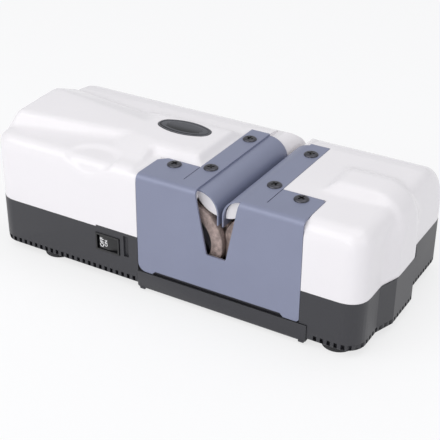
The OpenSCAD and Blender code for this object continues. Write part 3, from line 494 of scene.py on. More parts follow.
def machined_metal(name, colour, roughness, mark_mm, mark_depth):
    """Bare or plated metal with the fine marks that turning or rolling leaves"""
    material, tree, shader = start_material(name)
    place = object_place(tree)
    # marks run across the axis of the shafts, so the pattern is squeezed along Y
    squeeze = add_node(tree, "ShaderNodeMapping", inputs={"Vector": place, "Scale": (0.15, 1.0, 0.15)})
    marks = noise(tree, squeeze.outputs["Vector"], mark_mm, 4.0)
    tint_by(tree, shader, colour, marks, 0.86, 1.1)
    shader.inputs["Metallic"].default_value = 1.0
    shader.inputs["Roughness"].default_value = roughness
    relief(tree, shader, marks, mark_depth, 0.25)
    return material


def badge_with_painted_shade(name, dark, pale):
    """Clear-coated badge under gloss: darker at the front and paler behind; the dark front is painted shade
    standing in for the shadow on the badge's front edge
    """
    material, tree, shader = start_material(name)
    place = object_place(tree)
    split = add_node(tree, "ShaderNodeSeparateXYZ", inputs={0: place})
    # painted shade: the front of the badge is darkened where its front edge would lie in shadow
    fade = add_node(
        tree,
        "ShaderNodeMapRange",
        {"interpolation_type": "SMOOTHSTEP"},
        {
            "Value": split.outputs["Y"],
            "From Min": (BADGE_LO.y + 4) * MM,
            "From Max": (BADGE_LO.y + 15) * MM,
        },
    )
    tint = add_node(
        tree,
        "ShaderNodeMix",
        {"data_type": "RGBA"},
        {"Factor": fade.outputs["Result"], "A": linear(dark), "B": linear(pale)},
    )
    tree.links.new(tint.outputs["Result"], shader.inputs["Base Color"])
    shader.inputs["Roughness"].default_value = 0.25
    shader.inputs["Specular IOR Level"].default_value = 0.25
    return material


def make_materials():
    """Every finish of the sharpener, by name"""
    c = colours()
    return {
        "shell": moulded_abs("glossy_white_abs", c.shell, 0.24, 1.4, 0.004, 0.7),
        "base": moulded_abs("grained_grey_abs", c.base, 0.42, 0.9, 0.02, 0.5),
        "black": moulded_abs("black_nylon", "#1B1B1D", 0.38, 0.8, 0.01, 0.3),
        "rubber": moulded_abs("moulded_rubber", "#222225", 0.75, 0.7, 0.04, 0.5),
        "mark": moulded_abs("white_marking_ink", "#F2F2F2", 0.5, 0.6, 0.003, 0.05),
        "belt": moulded_abs("ribbed_belt_rubber", "#202022", 0.8, 1.0, 0.05, 0.2),
        "can": moulded_abs("pale_capacitor_can", "#CFCFCB", 0.4, 2.0, 0.01, 0.5),
        "plate": powder_coat("satin_powder_coat", c.plate),
        "ring": bonded_abrasive("vitrified_abrasive", c.ring),
        "screw": machined_metal("blackened_screw_steel", c.screw, 0.34, 0.5, 0.004),
        "zinc": machined_metal("zinc_plated_steel", "#B9BCC0", 0.36, 0.7, 0.006),
        "turned": machined_metal("turned_aluminium", "#C6C8CB", 0.3, 0.4, 0.01),
        "gear": machined_metal("cut_gear_steel", "#8C8F94", 0.38, 0.5, 0.006),
        "core": machined_metal("laminated_core_steel", "#6F7277", 0.5, 0.35, 0.03),
        "copper": machined_metal("enamelled_copper_wire", "#B46A34", 0.35, 0.6, 0.05),
        "badge": badge_with_painted_shade("clear_coated_print", "#0C0D0E", c.badge),
        "rim": machined_metal("anodised_rim", "#6E6F74", 0.3, 0.6, 0.002),
    }


# ---- white shell ----


def shell_block(x0, x1, h_front, h_back, front_top_r, end_r):
    """One rounded length of the housing; its two back corners have radii of their own"""
    s = shell_settings()
    lower = PART_H - 12
    balls = []
    turn_r = s.front_r - front_top_r
    for x, start in ((x0 + s.front_r, 180), (x1 - s.front_r, 270)):
        for cx, cy in arc((x, s.front_r), turn_r, start, start + 90, 3):
            balls.append((cx, cy, h_front - front_top_r, front_top_r))
            balls.append((cx, cy, lower, front_top_r))
    for x, r in ((x0 + end_r[0], end_r[0]), (x1 - end_r[1], end_r[1])):
        for y, h in arc((BACK - s.crown_r, h_back - s.crown_r), s.crown_r - r, 90, 0, 6):
            balls.append((x, y, h, r))
        balls.append((x, BACK - r, lower, r))
    return ball_hull(balls)


def ball_skin(balls, radius=4):
    """Skin round balls, each (x, distance back, height of its top)"""
    return ball_hull([(x, y, h - radius, radius) for x, y, h in balls], 20)


def left_band():
    """Raised band of the left half, highest over the end and narrowing to the badge's plateau"""
    high, low = TOP_H + shell_settings().band_rise, PART_H - 8
    top = [(-END_X + 8, 29, high + 5.5), (-END_X + 5, 77, high + 6.3)]
    top += [(NECK_X, 51, high), (NECK_X, 71, high)]
    foot = [(-END_X + 3, 20, TOP_H - 2), (-END_X + 5, 101, TOP_H + 3)]
    foot += [(NECK_X - 6, 45, TOP_H + 1.2), (NECK_X - 6, 90, TOP_H + 2)]
    bulge = [(-END_X - BULGE + 4, y, h) for y in (52, 82) for h in (low, TOP_H - 1.5)]
    flank = [(-END_X + 4, y, h) for y in (35, 101) for h in (low, TOP_H - 6)]
    return ball_skin(top + foot + bulge + flank)


def plateau():
    """Level field that carries the badge, with a long soft slope to its front left"""
    high = TOP_H + shell_settings().band_rise
    right, pocket = SLOT_X - 13, SLOT_X - PLATE_HALF - 13
    top = [(NECK_X, 50, high), (NECK_X, 90, high), (right, 47, high), (right, 90, high), (pocket, 46, high)]
    foot = [(NECK_X - 12, 43, TOP_H + 0.5), (NECK_X - 12, 96, TOP_H + 1.8)]
    foot += [(right + 5, 37, TOP_H), (right + 5, 97, TOP_H + 1.8)]
    foot += [(pocket, 16, TOP_H + 0.6), (pocket - 16, 18, TOP_H + 0.6)]
    return ball_skin(top + foot)


def right_band():
    """Raised band of the right half, turned down over the end as its bulge"""
    high, low = TOP_H + shell_settings().band_rise, PART_H - 8
    tip, turned = END_X + BULGE, 26
    start = SLOT_X + 60
    balls = [(start + 8, 57, high), (start + 8, 78, high), (start, 48, TOP_H), (start, 92, TOP_H)]
    for inward, ys in ((0, (57, 78)), (BULGE, (48, 92))):
        for x, h in arc((tip - turned, high - turned), turned - 4 - inward, 90, 0, 6):
            balls += [(x, y, h + 4) for y in ys]
    balls += [(tip - 4, y, h) for y in (52, 82) for h in (low, high - 34)]
    balls += [(END_X - 4, y, h) for y in (35, 99) for h in (low, TOP_H - 20)]
    return ball_skin(balls)


def slope_cutter(x0, x1, y1, back_slope):
    """Room over a level floor whose left and back walls lean outwards"""
    floor_h = TOP_H - PLATE_T
    rise, left_slope = 12, 9.5
    cutter = block((x0, AHEAD, floor_h), (x1, y1, floor_h + rise))
    for vertex in cutter.data.vertices:
        if vertex.co.z > floor_h * MM + 0.001:
            if vertex.co.x < x0 * MM + 0.001:
                vertex.co.x -= left_slope * MM
            if vertex.co.y > (FRONT_Y + y1) * MM - 0.001:
                vertex.co.y += back_slope * MM
    return cutter


def dish_cutter(form):
    """Shallow oval dish over the front edge of the left shelf, its floor following the form"""
    half_long, half_short, reach, depth = 21, 13.6, 40, 2.2
    middle_x, middle_y, middle_h = -68, 4, 96
    # the cutter's axis points forwards and up; its middle is moved up the slant of the edge
    lean, up = math.radians(45), 4.8 * math.sqrt(0.5)
    bpy.ops.mesh.primitive_cylinder_add(
        vertices=72,
        radius=1,
        depth=1,
        location=at(middle_x, middle_y + up, middle_h + up),
        rotation=(lean, 0, 0),
    )
    cutter = bpy.context.object
    cutter.scale = (half_long * MM, half_short * MM, reach * MM)
    bpy.ops.object.transform_apply(location=True, rotation=True, scale=True)
    inner = copy_of(form)
    edit(inner)
    bpy.ops.mesh.select_all(action="SELECT")
    bpy.ops.transform.shrink_fatten(value=-depth * MM)
    leave_edit()
    cut(cutter, inner)
    return cutter


def outer_form():
    """The closed outer form of the shell, its creases rounded by smoothing"""
    s = shell_settings()
    form = join(
        [
            shell_block(-END_X, SLOT_X + 20, s.left_h, TOP_H, 9, (5, 10)),
            shell_block(SLOT_X - 20, END_X, TOP_H, TOP_H, 12, (10, s.back_r)),
            left_band(),
            plateau(),
            right_band(),
        ]
    )
    add_modifier(form, "REMESH", mode="VOXEL", voxel_size=s.voxel * MM)
    cut(form, slope_cutter(SLOT_X - PLATE_HALF - 7, SLOT_X + 10, FLANGE_D + 1, 9))
    cut(form, slope_cutter(SLOT_X - STRIP_HALF - 1, SLOT_X + 10, GUIDE_L + 0.3, 0))
    cut(form, dish_cutter(form))
    add_modifier(form, "REMESH", mode="VOXEL", voxel_size=s.voxel * MM)
    add_modifier(form, "SMOOTH", factor=0.5, iterations=s.soften)
    return form


def plan_bar(inset, front_r, back_r):
    """Upright bar with the shell's rounded plan, drawn in by an inset"""
    x, y0, y1 = END_X - inset, inset, BACK - inset
    outline = []
    for cx, cy, r, start in (
        (-x + front_r, y0 + front_r, front_r, 180),
        (x - front_r, y0 + front_r, front_r, 270),
        (x - back_r, y1 - back_r, back_r, 0),
        (-x + back_r, y1 - back_r, back_r, 90),
    ):
        outline += arc((cx, cy), r, start, start + 90, 6)
    return prism(outline, "z", PART_H - 20, TOP_H + 30)


def cavity():
    """Hollow inside the shell: high beside the plate, lower under it, with a rounded crown"""
    s = shell_settings()
    low = PART_H - 5
    pieces = []
    middle_x0, middle_x1 = SLOT_X - PLATE_HALF - 20, SLOT_X + PLATE_HALF + 7
    roof = TOP_H - WALL - PLATE_T - GUIDE_T
    spans = [
        (-END_X + WALL, middle_x0, s.left_h - WALL - 2.5),
        (middle_x0 - 15, middle_x1 + 15, roof - 1.5),
        (middle_x1, END_X - WALL, TOP_H - WALL - 2.5),
    ]
    r = s.crown_r - WALL
    for x0, x1, top in spans:
        outline = [(WALL + 1.5, low), (WALL + 1.5, top - 8)] + arc((WALL + 9.5, top - 8), 8, 180, 90, 4)[1:]
        outline += arc((BACK - WALL - r, top - r), r, 90, 0, 8) + [(BACK - WALL, low)]
        bar = prism(outline, "x", x0, x1)
        edit(bar)
        pick(bar, "edges", lambda e: abs(e.verts[0].co.x - e.verts[1].co.x) < 1e-6)
        bpy.ops.mesh.bevel(offset=7 * MM, segments=4)
        leave_edit()
        pieces.append(bar)
    hollow = pieces[0]
    for other in pieces[1:]:
        combine(hollow, other, "UNION", "EXACT")
    combine(hollow, plan_bar(WALL, s.front_r - WALL, s.back_r - WALL), "INTERSECT", "EXACT")
    return hollow


def lens_outline(a, ra, b, rb, steps=10):
    """Outline of the overlap of two circles"""
    gap = math.hypot(b[0] - a[0], b[1] - a[1])
    along = (gap**2 + ra**2 - rb**2) / (2 * gap)
    lean = math.degrees(math.atan2(b[1] - a[1], b[0] - a[0]))
    half_a = math.degrees(math.acos(along / ra))
    half_b = math.degrees(math.acos((gap - along) / rb))
    first = arc(a, ra, lean - half_a, lean + half_a, steps)
    second = arc(b, rb, lean + 180 - half_b, lean + 180 + half_b, steps)
    return first + second[1:-1]


def throat_rib(side):
    """Lens-shaped lip of the shell under one guide"""
    rib_r = GUIDE_R - GUIDE_T - FIT
    outline = lens_outline((-MOUTH_HALF, GUIDE_C_H), rib_r + 0.6, (-0.5, GUIDE_C_H + 21), 23.5)
    points = [(SLOT_X - side * x, h) for x, h in outline]
    return prism(points, "y", RIB_Y, BACK - WALL - 8)


def valley_cutter():
    """The open valley of the slot, through the whole depth of the shell"""
    r = GUIDE_R - GUIDE_T - FIT
    gap = MOUTH_HALF - r
    low = 71
    half = [
        (MOUTH_HALF - r * math.sin(math.radians(t)), GUIDE_C_H + r * math.cos(math.radians(t)))
        for t in range(0, 91, 6)
    ]
    outline = [(MOUTH_HALF, SKY_H)] + half + [(gap, low)]
    outline += [(-x, h) for x, h in reversed(outline)]
    return prism([(SLOT_X + x, h) for x, h in outline], "y", AHEAD, BACK - AHEAD)


def plate_recess():
    """Seat of the bent plate: upright face, bend and flange in one section"""
    bend_in = BEND_R - PLATE_T
    outline = [(AHEAD, PART_H - 2), (PLATE_T, PART_H - 2)]
    outline += arc((BEND_R, TOP_H - BEND_R), bend_in, 180, 90, 6)
    outline += [(FLANGE_D + FIT, TOP_H - PLATE_T), (FLANGE_D + FIT, SKY_H), (AHEAD, SKY_H)]
    half = PLATE_HALF + FIT
    return prism(outline, "x", SLOT_X - half, SLOT_X + half)


def badge_outline(grow):
    """Oval of two wide arcs with small round ends, about the badge's middle"""
    centre_y = (BADGE_LO.y + BADGE_HI.y) / 2 - FRONT_Y
    a = (BADGE_HI.x - BADGE_LO.x) / 2 + grow
    b = (BADGE_HI.y - BADGE_LO.y) / 2 + grow
    small = 0.35 * a
    wide = ((a - small) ** 2 + b**2 - small**2) / (2 * (b - small))
    lean = math.degrees(math.atan2(wide - b, a - small))
    outline = []
    for cx, cy, r, start, end, steps in (
        (a - small, 0, small, -lean, lean, 10),
        (0, b - wide, wide, lean, 180 - lean, 30),
        (small - a, 0, small, 180 - lean, 180 + lean, 10),
        (0, wide - b, wide, 180 + lean, 360 - lean, 30),
    ):
        outline += [(BADGE_X + x, centre_y + y) for x, y in arc((cx, cy), r, start, end, steps)[:-1]]
    return outline


class SHARPENER_OT_shell(bpy.types.Operator):
    """Builds the white moulded top shell"""

    bl_idname = "sharpener.shell"
    bl_label = "Top shell"

    def execute(self, context):
        shell = outer_form()
        cut(shell, block((-200, -30, 0), (200, 200, PART_H)))
        ribs = [throat_rib(side) for side in (1, -1)]
        for rib in ribs:
            combine(rib, copy_of(shell), "INTERSECT")
        cut(shell, cavity())
        for rib in reversed(ribs):
            combine(shell, rib, "UNION")
        cut(shell, plate_recess())
        seat_h = TOP_H - PLATE_T - GUIDE_T
        half = STRIP_HALF + FIT
        seat = block((SLOT_X - half, AHEAD, seat_h), (SLOT_X + half, GUIDE_L + FIT, SKY_H))
        cut(shell, seat)
        cut(shell, valley_cutter())
        # the view through the plate's notch to the rings
        view_half, view_low_h = MOUTH_HALF + 1.5, 47.8
        view = block((SLOT_X - view_half, AHEAD, view_low_h), (SLOT_X + view_half, RIB_Y, SKY_H))
        cut(shell, view)
        # room for the raised edge of the base beside the switch
        room_low = (ROCKER_X - STEP_REACH - FIT, AHEAD, PART_H - 5)
        room = block(room_low, (PLATE_LO.x, WALL + FIT, PART_H + STEP_H + 0.1))
        cut(shell, room)
        cut(shell, prism(badge_outline(0.35), "z", BADGE_LO.z, SKY_H))
        smooth(shell)
        finish_piece(shell, "shell_moulding", "housing", MATERIALS["shell"], "shell_white", "top_shell")
        return {"FINISHED"}


# ---- small pieces that show ----


class SHARPENER_OT_badge(bpy.types.Operator):
    """Builds the bare oval badge: a raised rim round a slightly domed field"""

    bl_idname = "sharpener.badge"
    bl_label = "Oval badge"

    def execute(self, context):
        badge = prism(badge_outline(0), "z", BADGE_LO.z, BADGE_HI.z - 0.25)
        top = (BADGE_HI.z - 0.26) * MM
        edit(badge)
        pick(badge, "faces", lambda f: f.calc_center_median().z > top)
        for thickness, depth in ((0.3, 0.25), (0.9, 0), (0.3, -0.35), (1.2, 0.14), (1.8, 0.1), (2.2, 0.05)):
            bpy.ops.mesh.inset(thickness=thickness * MM, depth=depth * MM, use_boundary=True)
        leave_edit()
        smooth(badge, 25)
        badge.data.materials.append(MATERIALS["badge"])
        badge.data.materials.append(MATERIALS["rim"])
        for face in badge.data.polygons:
            if face.center.z > top and face.normal.z > 0.7 and face.area < 2.4 * MM * MM:
                face.material_index = 1
        finish_piece(badge, "badge_blank", "housing", None, "badge_dark", "badge")
        return {"FINISHED"}


class SHARPENER_OT_plate_screws(bpy.types.Operator):
    """Builds one raised-head screw with its cross recess and copies it to each place on the plate"""

    bl_idname = "sharpener.plate_screws"
    bl_label = "Plate screws"

    def execute(self, context):
        boxes = loose_boxes("plate_screws")
        low, high = boxes[0]
        middle = (low + high) / 2
        r = (high.x - low.x) / 2 - 0.6
        seat = TOP_H - high.z
        crest = seat + 1.5
        tip, shank_r = low.z - high.z, 2.4
        profile = [(0, tip), (shank_r - 0.2, tip), (shank_r, tip + 0.5), (shank_r, seat), (r - 0.2, seat)]
        profile += [(r, seat + 0.25), (r - 0.15, seat + 0.7), (r - 0.7, crest - 0.3)]
        profile += [(r - 1.5, crest - 0.05), (r - 2.2, crest), (0, crest)]
        screw = turn(profile, (middle.x, middle.y, high.z), "z", 56)
        # cross recess: two wings that taper downwards
        mouth_h, foot_h = crest + 0.3, crest - 1.9
        taper = [(-3.2, mouth_h), (3.2, mouth_h), (1.3, foot_h), (-1.3, foot_h)]
        for angle in (20, 110):
            wing = prism(taper, "y", -0.85, 0.85)
            set_down(wing, math.radians(angle), (middle.x, middle.y, high.z))
            cut(screw, wing, solver="EXACT")
        pieces = [screw]
        for i, (each_low, each_high) in enumerate(boxes[1:], 1):
            move = (each_low + each_high) / 2 - middle
            pieces.append(copy_of(screw, (move.x, move.y, 0), 37 * i, middle))
        screws = join(pieces)
        smooth(screws, 35)
        screws.data.materials.append(MATERIALS["screw"])
        screws.data.materials.append(MATERIALS["black"])
        # painted shade: faces deep in the cross recesses take the black finish to darken them
        for face in screws.data.polygons:
            if (TOP_H + 0.2) * MM < face.center.z < (TOP_H + 1.3) * MM and in_recess_painted_shade(face, boxes):
                face.material_index = 1
        finish_piece(screws, "raised_head_screws", "housing", None, "screw_black", "plate_screws")
        return {"FINISHED"}


def in_recess_painted_shade(face, boxes):
    """Whether a face lies in the recess of one of the screws, where the black finish is painted shade"""
    for low, high in boxes:
        middle = at(*((low + high) / 2))
        if math.hypot(face.center.x - middle.x, face.center.y - middle.y) < 3.3 * MM:
            return True
    return False


class SHARPENER_OT_rings(bpy.types.Operator):
    """Builds one grinding ring with edges worn round and copies it along both shafts"""

    bl_idname = "sharpener.rings"
    bl_label = "Grinding rings"

    def execute(self, context):
        for body in ("left_head", "right_head"):
            node = body.replace("head", "stones")
            boxes = loose_boxes(node)
            low, high = boxes[0]
            middle = (low + high) / 2
            r, half = (high.x - low.x) / 2, (high.y - low.y) / 2
            bore = ring_bore(node, middle)
            worn, chamfer = 0.9, 0.3
            profile = [(bore, -half + chamfer), (bore + chamfer, -half)]
            profile += arc((r - worn, -half + worn), worn, 270, 360, 4)
            profile += arc((r - worn, half - worn), worn, 0, 90, 4)
            profile += [(bore + chamfer, half), (bore, half - chamfer)]
            ring = turn(profile, tuple(middle), "y", 96)
            pieces = [ring]
            for each_low, each_high in boxes[1:]:
                pieces.append(copy_of(ring, ((each_low + each_high) / 2 - middle)))
            rings = join(pieces)
            smooth(rings, 40)
            finish_piece(rings, node.replace("stones", "rings"), body, MATERIALS["ring"], "abrasive", node)
        return {"FINISHED"}


class SHARPENER_OT_switch(bpy.types.Operator):
    """Builds the rocker with its ridge across the middle and its printed marks"""

    bl_idname = "sharpener.switch"
    bl_label = "Switch rocker"

    def execute(self, context):
        # section seen from above: two faces that meet in the ridge, and the back behind them
        outline = [(-8.3, -0.2), (0, -0.3), (9, 2.0), (8.6, 5.6), (2.5, 7.2), (-2.5, 7.2), (-8, 5.6)]
        rocker = prism([(ROCKER_X + x, y) for x, y in outline], "z", ROCKER_LO.z, ROCKER_HI.z)
        edit(rocker)
        pick(rocker, "edges", lambda e: min(v.co.y for v in e.verts) < (FRONT_Y + 3) * MM)
        bpy.ops.mesh.bevel(offset=0.35 * MM, segments=3)
        leave_edit()
        smooth(rocker, 25)
        finish_piece(rocker, "rocker_ridge", "rocker", MATERIALS["black"], "switch_black", "switch_rocker")
        for words, x, size in (("OFF", -4.2, 4.8), ("ON", -0.8, 3.6)):
            mark = printed_mark(words, ROCKER_X + x, ROCKER_H, size)
            finish_piece(mark, "mark_" + words.lower(), "rocker", MATERIALS["mark"], "switch_black")
        return {"FINISHED"}


def printed_mark(words, x, h, size):
    """Upright line of print, read from below, on the rocker's left half"""
    deselect_all()
    bpy.ops.object.text_add()
    mark = bpy.context.object
    mark.data.body = words
    mark.data.size = size * MM
    mark.data.align_x = "CENTER"
    mark.data.extrude = 0.04 * MM
    mark.data.offset = 0.06 * MM
    mark.rotation_euler = (math.radians(90), math.radians(-90), 0)
    mark.location = at(x, -0.26, h)
    bpy.ops.object.convert(target="MESH")
    return bpy.context.object


class SHARPENER_OT_tray(bpy.types.Operator):
    """Builds the dust tray: a bin behind an apron that carries on the line of the base"""

    bl_idname = "sharpener.tray"
    bl_label = "Dust tray"

    def execute(self, context):
        low, top = TRAY_LO.z, TRAY_HI.z
        proud, lip_d, lip_h = -0.7, 4.7, 2.3
        section = [(-FIT, top), (-0.4, top), (proud, top - 0.3), (proud, low + 1.5), (0.2, low)]
        section += [(lip_d, low), (lip_d, low + lip_h), (-FIT, low + lip_h)]
        apron = prism(section, "x", TRAY_LO.x, TRAY_HI.x)
        # each lower end is cut on a slant and has a nub under it
        slant, shift, nub_in, nub_half = 1.8, 1.1, 3.9, 2.2
        for x, side in ((TRAY_LO.x, 1), (TRAY_HI.x, -1)):
            edge = block((x - 2, AHEAD, low - 1), (x + 2, 8, low + 5))
            for vertex in edge.data.vertices:
                if vertex.co.z > (low + 4) * MM:
                    vertex.co.x -= side * slant * MM
                vertex.co.x -= side * shift * MM
            cut(apron, edge, solver="EXACT")
            nub_x = x + side * nub_in
            nub = block((nub_x - nub_half, -0.5, low - 1.1), (nub_x + nub_half, 3, low + 1))
            combine(apron, nub, "UNION", "EXACT")
        edit(apron)
        pick(apron, "edges", lambda e: e.is_manifold and e.calc_face_angle(0) > 0.6)
        bpy.ops.mesh.bevel(offset=0.25 * MM, segments=2)
        leave_edit()
        half, deep, wall = 56, TRAY_HI.y - FRONT_Y, 1.6
        bin_low = (TRAY_X - half, -FIT - 0.02, TRAY_BIN_LOW)
        bin_box = block(bin_low, (TRAY_X + half, deep, TRAY_BIN_TOP))
        hollow_low = (TRAY_X - half + wall, wall, TRAY_BIN_LOW + wall)
        hollow = block(hollow_low, (TRAY_X + half - wall, deep - wall, TRAY_BIN_TOP + 9))
        cut(bin_box, hollow, solver="EXACT")
        tray = join([apron, bin_box])
        smooth(tray, 30)
        finish_piece(tray, "tray_drawer", "tray", MATERIALS["base"], "base_grey", "dust_tray")
        return {"FINISHED"}


def ring_bore(node, middle):
    """Radius of the bore of a packed ring, in millimetres"""
    centre = at(*middle)
    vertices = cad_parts[node].data.vertices
    return min(math.hypot(v.co.x - centre.x, v.co.z - centre.z) for v in vertices) / MM


# ---- dark base ----


def base_outline(inset):
    """Plan of the base: rounded corners, and a bulge with slanting flanks at each end"""
    s = shell_settings()
    x, y0, y1 = END_X - inset, inset, BACK - inset
    rf, rb = s.front_r - inset, s.back_r - inset
    tip, slope = x + BULGE, BULGE_RUN
    outline = arc((-x + rf, y0 + rf), rf, 180, 270, 8) + arc((x - rf, y0 + rf), rf, 270, 360, 8)
    outline += [(x, BULGE_Y[0]), (tip, BULGE_Y[0] + slope), (tip, BULGE_Y[1] - slope), (x, BULGE_Y[1])]
    outline += arc((x - rb, y1 - rb), rb, 0, 90, 6) + arc((-x + rb, y1 - rb), rb, 90, 180, 6)
    outline += [(-x, BULGE_Y[1]), (-tip, BULGE_Y[1] - slope), (-tip, BULGE_Y[0] + slope), (-x, BULGE_Y[0])]
    return outline


def vent_cutters():
    """A row of small upright slots that follows the lower edge all round, but for the tray"""
    outline = base_outline(0)
    pieces = []
    walked, next_at = 0, 2.0
    for (x0, y0), (x1, y1) in zip(outline, outline[1:] + outline[:1]):
        run = math.hypot(x1 - x0, y1 - y0)
        while next_at < walked + run:
            share = (next_at - walked) / run
            x, y = x0 + share * (x1 - x0), y0 + share * (y1 - y0)
            next_at += VENT_PITCH
            if y < 5 and PLATE_LO.x - 3 < x < TRAY_HI.x + 3:
                continue
            slot = block((-1.3, -4, FOOT_GAP + 0.6), (1.3, 4, FOOT_GAP + 4.9))
            set_down(slot, math.atan2(y1 - y0, x1 - x0), (x, y, 0))
            pieces.append(slot)
        walked += run
    return join(pieces)


class SHARPENER_OT_base(bpy.types.Operator):
    """Builds the dark skirted base with its vents, switch opening and seat of the plate"""

    bl_idname = "sharpener.base"
    bl_label = "Base"

    def execute(self, context):
        base = prism(base_outline(0), "z", FOOT_GAP, PART_H)
        edit(base)
        lowest = (FOOT_GAP + 0.01) * MM
        pick(base, "edges", lambda e: max(v.co.z for v in e.verts) < lowest)
        bpy.ops.mesh.bevel(offset=1.6 * MM, segments=3)
        leave_edit()
        cut(base, prism(base_outline(WALL), "z", 0, PART_H + 5))
        pad = PLATE_HALF + 3
        backing = block((SLOT_X - pad, WALL - 1, BASE_FLOOR_H), (SLOT_X + pad, WALL + PLATE_T, PART_H))
        combine(base, backing, "UNION")
        middles = [(low + high) / 2 for low, high in loose_boxes("cover_screws")]
        for m in middles:
            combine(base, rod(m, POST_R, BASE_FLOOR_H, PART_H), "UNION")
        edge = block((ROCKER_X - STEP_REACH, 0, PART_H - 1), (PLATE_LO.x - FIT, WALL, PART_H + STEP_H))
        combine(base, edge, "UNION")
        gland = (GLAND_LO + GLAND_HI) / 2
        bore = [(0, -10), (GLAND_BORE_R, -10), (GLAND_BORE_R, 10), (0, 10)]
        cuts = [
            block((PLATE_LO.x - FIT, AHEAD, PLATE_LO.z - FIT), (PLATE_HI.x + FIT, PLATE_T, 60)),
            block((TRAY_X - TRAY_OPEN_HALF, AHEAD, 0), (TRAY_X + TRAY_OPEN_HALF, 7, TRAY_OPEN_H)),
            block(
                (ROCKER_X - SWITCH_OPEN_HALF, AHEAD, ROCKER_H - SWITCH_OPEN_HALF_H),
                (ROCKER_X + SWITCH_OPEN_HALF, 10, ROCKER_H + SWITCH_OPEN_HALF_H),
            ),
            rod((ROCKER_X + GROOVE_DX, 0.4), GROOVE_R, PART_H - 19, PART_H - 1.2),
            turn(bore, (gland.x, BACK, gland.z), "y", 48),
            vent_cutters(),
        ]
        cuts += [rod(m, POST_HOLE_R, 0, PART_H + 5) for m in middles]
        cut(base, *cuts)
        smooth(base, 14)
        finish_piece(base, "base_skirt", "housing", MATERIALS["base"], "base_grey", "base_tub")
        return {"FINISHED"}


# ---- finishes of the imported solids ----

NODE_FINISH = {
    "base": ("bottom_cover",),
    "black": ("switch_body", "switch_rocker", "cable_gland", "gland_nut", "cooling_fan"),
    "rubber": ("feet",),
    "belt": ("drive_belt",),
    "can": ("run_capacitor",),
    "plate": ("front_plate", "guide_left", "guide_right"),
    "ring": ("left_stones", "right_stones"),
    "screw": ("plate_screws", "cover_screws", "left_clamp_nut", "right_clamp_nut"),
    "zinc": ("foot_screws", "bearing_plate_front", "bearing_plate_rear", "frame_tie_bars", "shaft_bearings",
             "left_shaft", "right_shaft", "motor_cradle", "motor_case", "motor_front_bell",
             "motor_rear_bell", "motor_bearings", "rotor_shaft"),
    "turned": ("left_hub", "right_hub", "left_spacers", "right_spacers", "driven_pulley", "drive_pulley"),
    "gear": ("left_gear", "right_gear"),
    "core": ("stator_core", "rotor_core"),
    "copper": ("motor_winding",),
    "badge": ("badge",),
}


class SHARPENER_OT_finishes(bpy.types.Operator):
    """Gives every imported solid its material"""

    bl_idname = "sharpener.finishes"
    bl_label = "Finishes of the solids"

    def execute(self, context):
        for finish, names in NODE_FINISH.items():
            for name in names:
                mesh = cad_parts[name].data
                mesh.materials.clear()
                mesh.materials.append(MATERIALS[finish])
        return {"FINISHED"}


# ---- stage ----


# name, place, place it points at, size, watts
LAMPS = (
    ("key_softbox", (-0.5, -1.1, 1.1), (0, 0, 0.06), (1.7, 1.2), 9.6),
    ("top_softbox", (0.3, 0.3, 1.5), (0, 0, 0.06), (1.4, 1.0), 4),
    ("right_softbox", (1.4, -0.3, 0.6), (0, 0, 0.06), (0.6, 0.9), 1.2),
    ("low_front_softbox", (0.15, -1.3, 0.35), (0, 0, 0.09), (0.5, 0.3), 1.7),
)


def add_lamp(name, place, aim, size, power):
    """An oblong soft light that points at a place on the object"""
    lamp = bpy.data.lights.new(name, "AREA")
    lamp.shape = "RECTANGLE"
    lamp.size, lamp.size_y = size
    lamp.energy = power
    holder = bpy.data.objects.new(name, lamp)
    bpy.context.scene.collection.objects.link(holder)
    holder.location = place
    holder.rotation_euler = (Vector(aim) - Vector(place)).to_track_quat("-Z", "Y").to_euler()
    return holder


def add_camera():
    """Camera at the photograph's place and angle, without depth of field"""
    azimuth, elevation, roll = math.radians(30.25), math.radians(29.25), math.radians(0.49)
    level = math.cos(elevation)
    ahead = Vector((-math.sin(azimuth) * level, math.cos(azimuth) * level, -math.sin(elevation)))
    right = Vector((math.cos(azimuth), math.sin(azimuth), 0))
    down = ahead.cross(right)
    right_turned = right * math.cos(roll) - down * math.sin(roll)
    down_turned = right * math.sin(roll) + down * math.cos(roll)
    lens = bpy.data.cameras.new("photo_camera")
    lens.lens = 86.81
    lens.sensor_width = 36
    holder = bpy.data.objects.new("photo_camera", lens)
    bpy.context.scene.collection.objects.link(holder)
    axes = holder.matrix_world.to_3x3()
    for i, axis in enumerate((right_turned, -down_turned, -ahead)):
        axes.col[i] = axis
    holder.rotation_euler = axes.to_euler()
    holder.location = (0.3755, -0.6380, 0.4458)
    bpy.context.scene.camera = holder


def seen_by(tree, *rays):
    """1 for rays of these kinds, 0 for the rest"""
    path = add_node(tree, "ShaderNodeLightPath")
    seen = path.outputs[rays[0]]
    for ray in rays[1:]:
        inputs = {0: seen, 1: path.outputs[ray]}
        seen = add_node(tree, "ShaderNodeMath", {"operation": "MAXIMUM"}, inputs).outputs[0]
    return seen


def mix_to(tree, output, factor, first, second):
    """Mixes two shaders into a tree's output"""
    both = add_node(tree, "ShaderNodeMixShader", inputs={0: factor, 1: first, 2: second})
    tree.links.new(both.outputs["Shader"], tree.nodes[output].inputs["Surface"])


def add_floor():
    """Pale seamless floor that keeps a soft contact shadow"""
    deselect_all()
    bpy.ops.mesh.primitive_plane_add(size=8, location=(0, 0, 0))
    floor = settle(bpy.context.object, "floor")
    material, tree, shader = start_material("white_paper")
    tree.nodes.remove(shader)
    seen = seen_by(tree, "Is Camera Ray", "Is Glossy Ray", "Is Transmission Ray")
    share = add_node(tree, "ShaderNodeMath", {"operation": "MULTIPLY"}, {0: seen, 1: 0.72})
    paper = add_node(tree, "ShaderNodeBsdfDiffuse", inputs={"Color": linear("#F4F4F6")})
    glow = add_node(tree, "ShaderNodeEmission", inputs={"Color": (1, 1, 1, 1), "Strength": 1.0})
    mix_to(tree, "Material Output", share.outputs[0], paper.outputs["BSDF"], glow.outputs["Emission"])
    floor.data.materials.append(material)


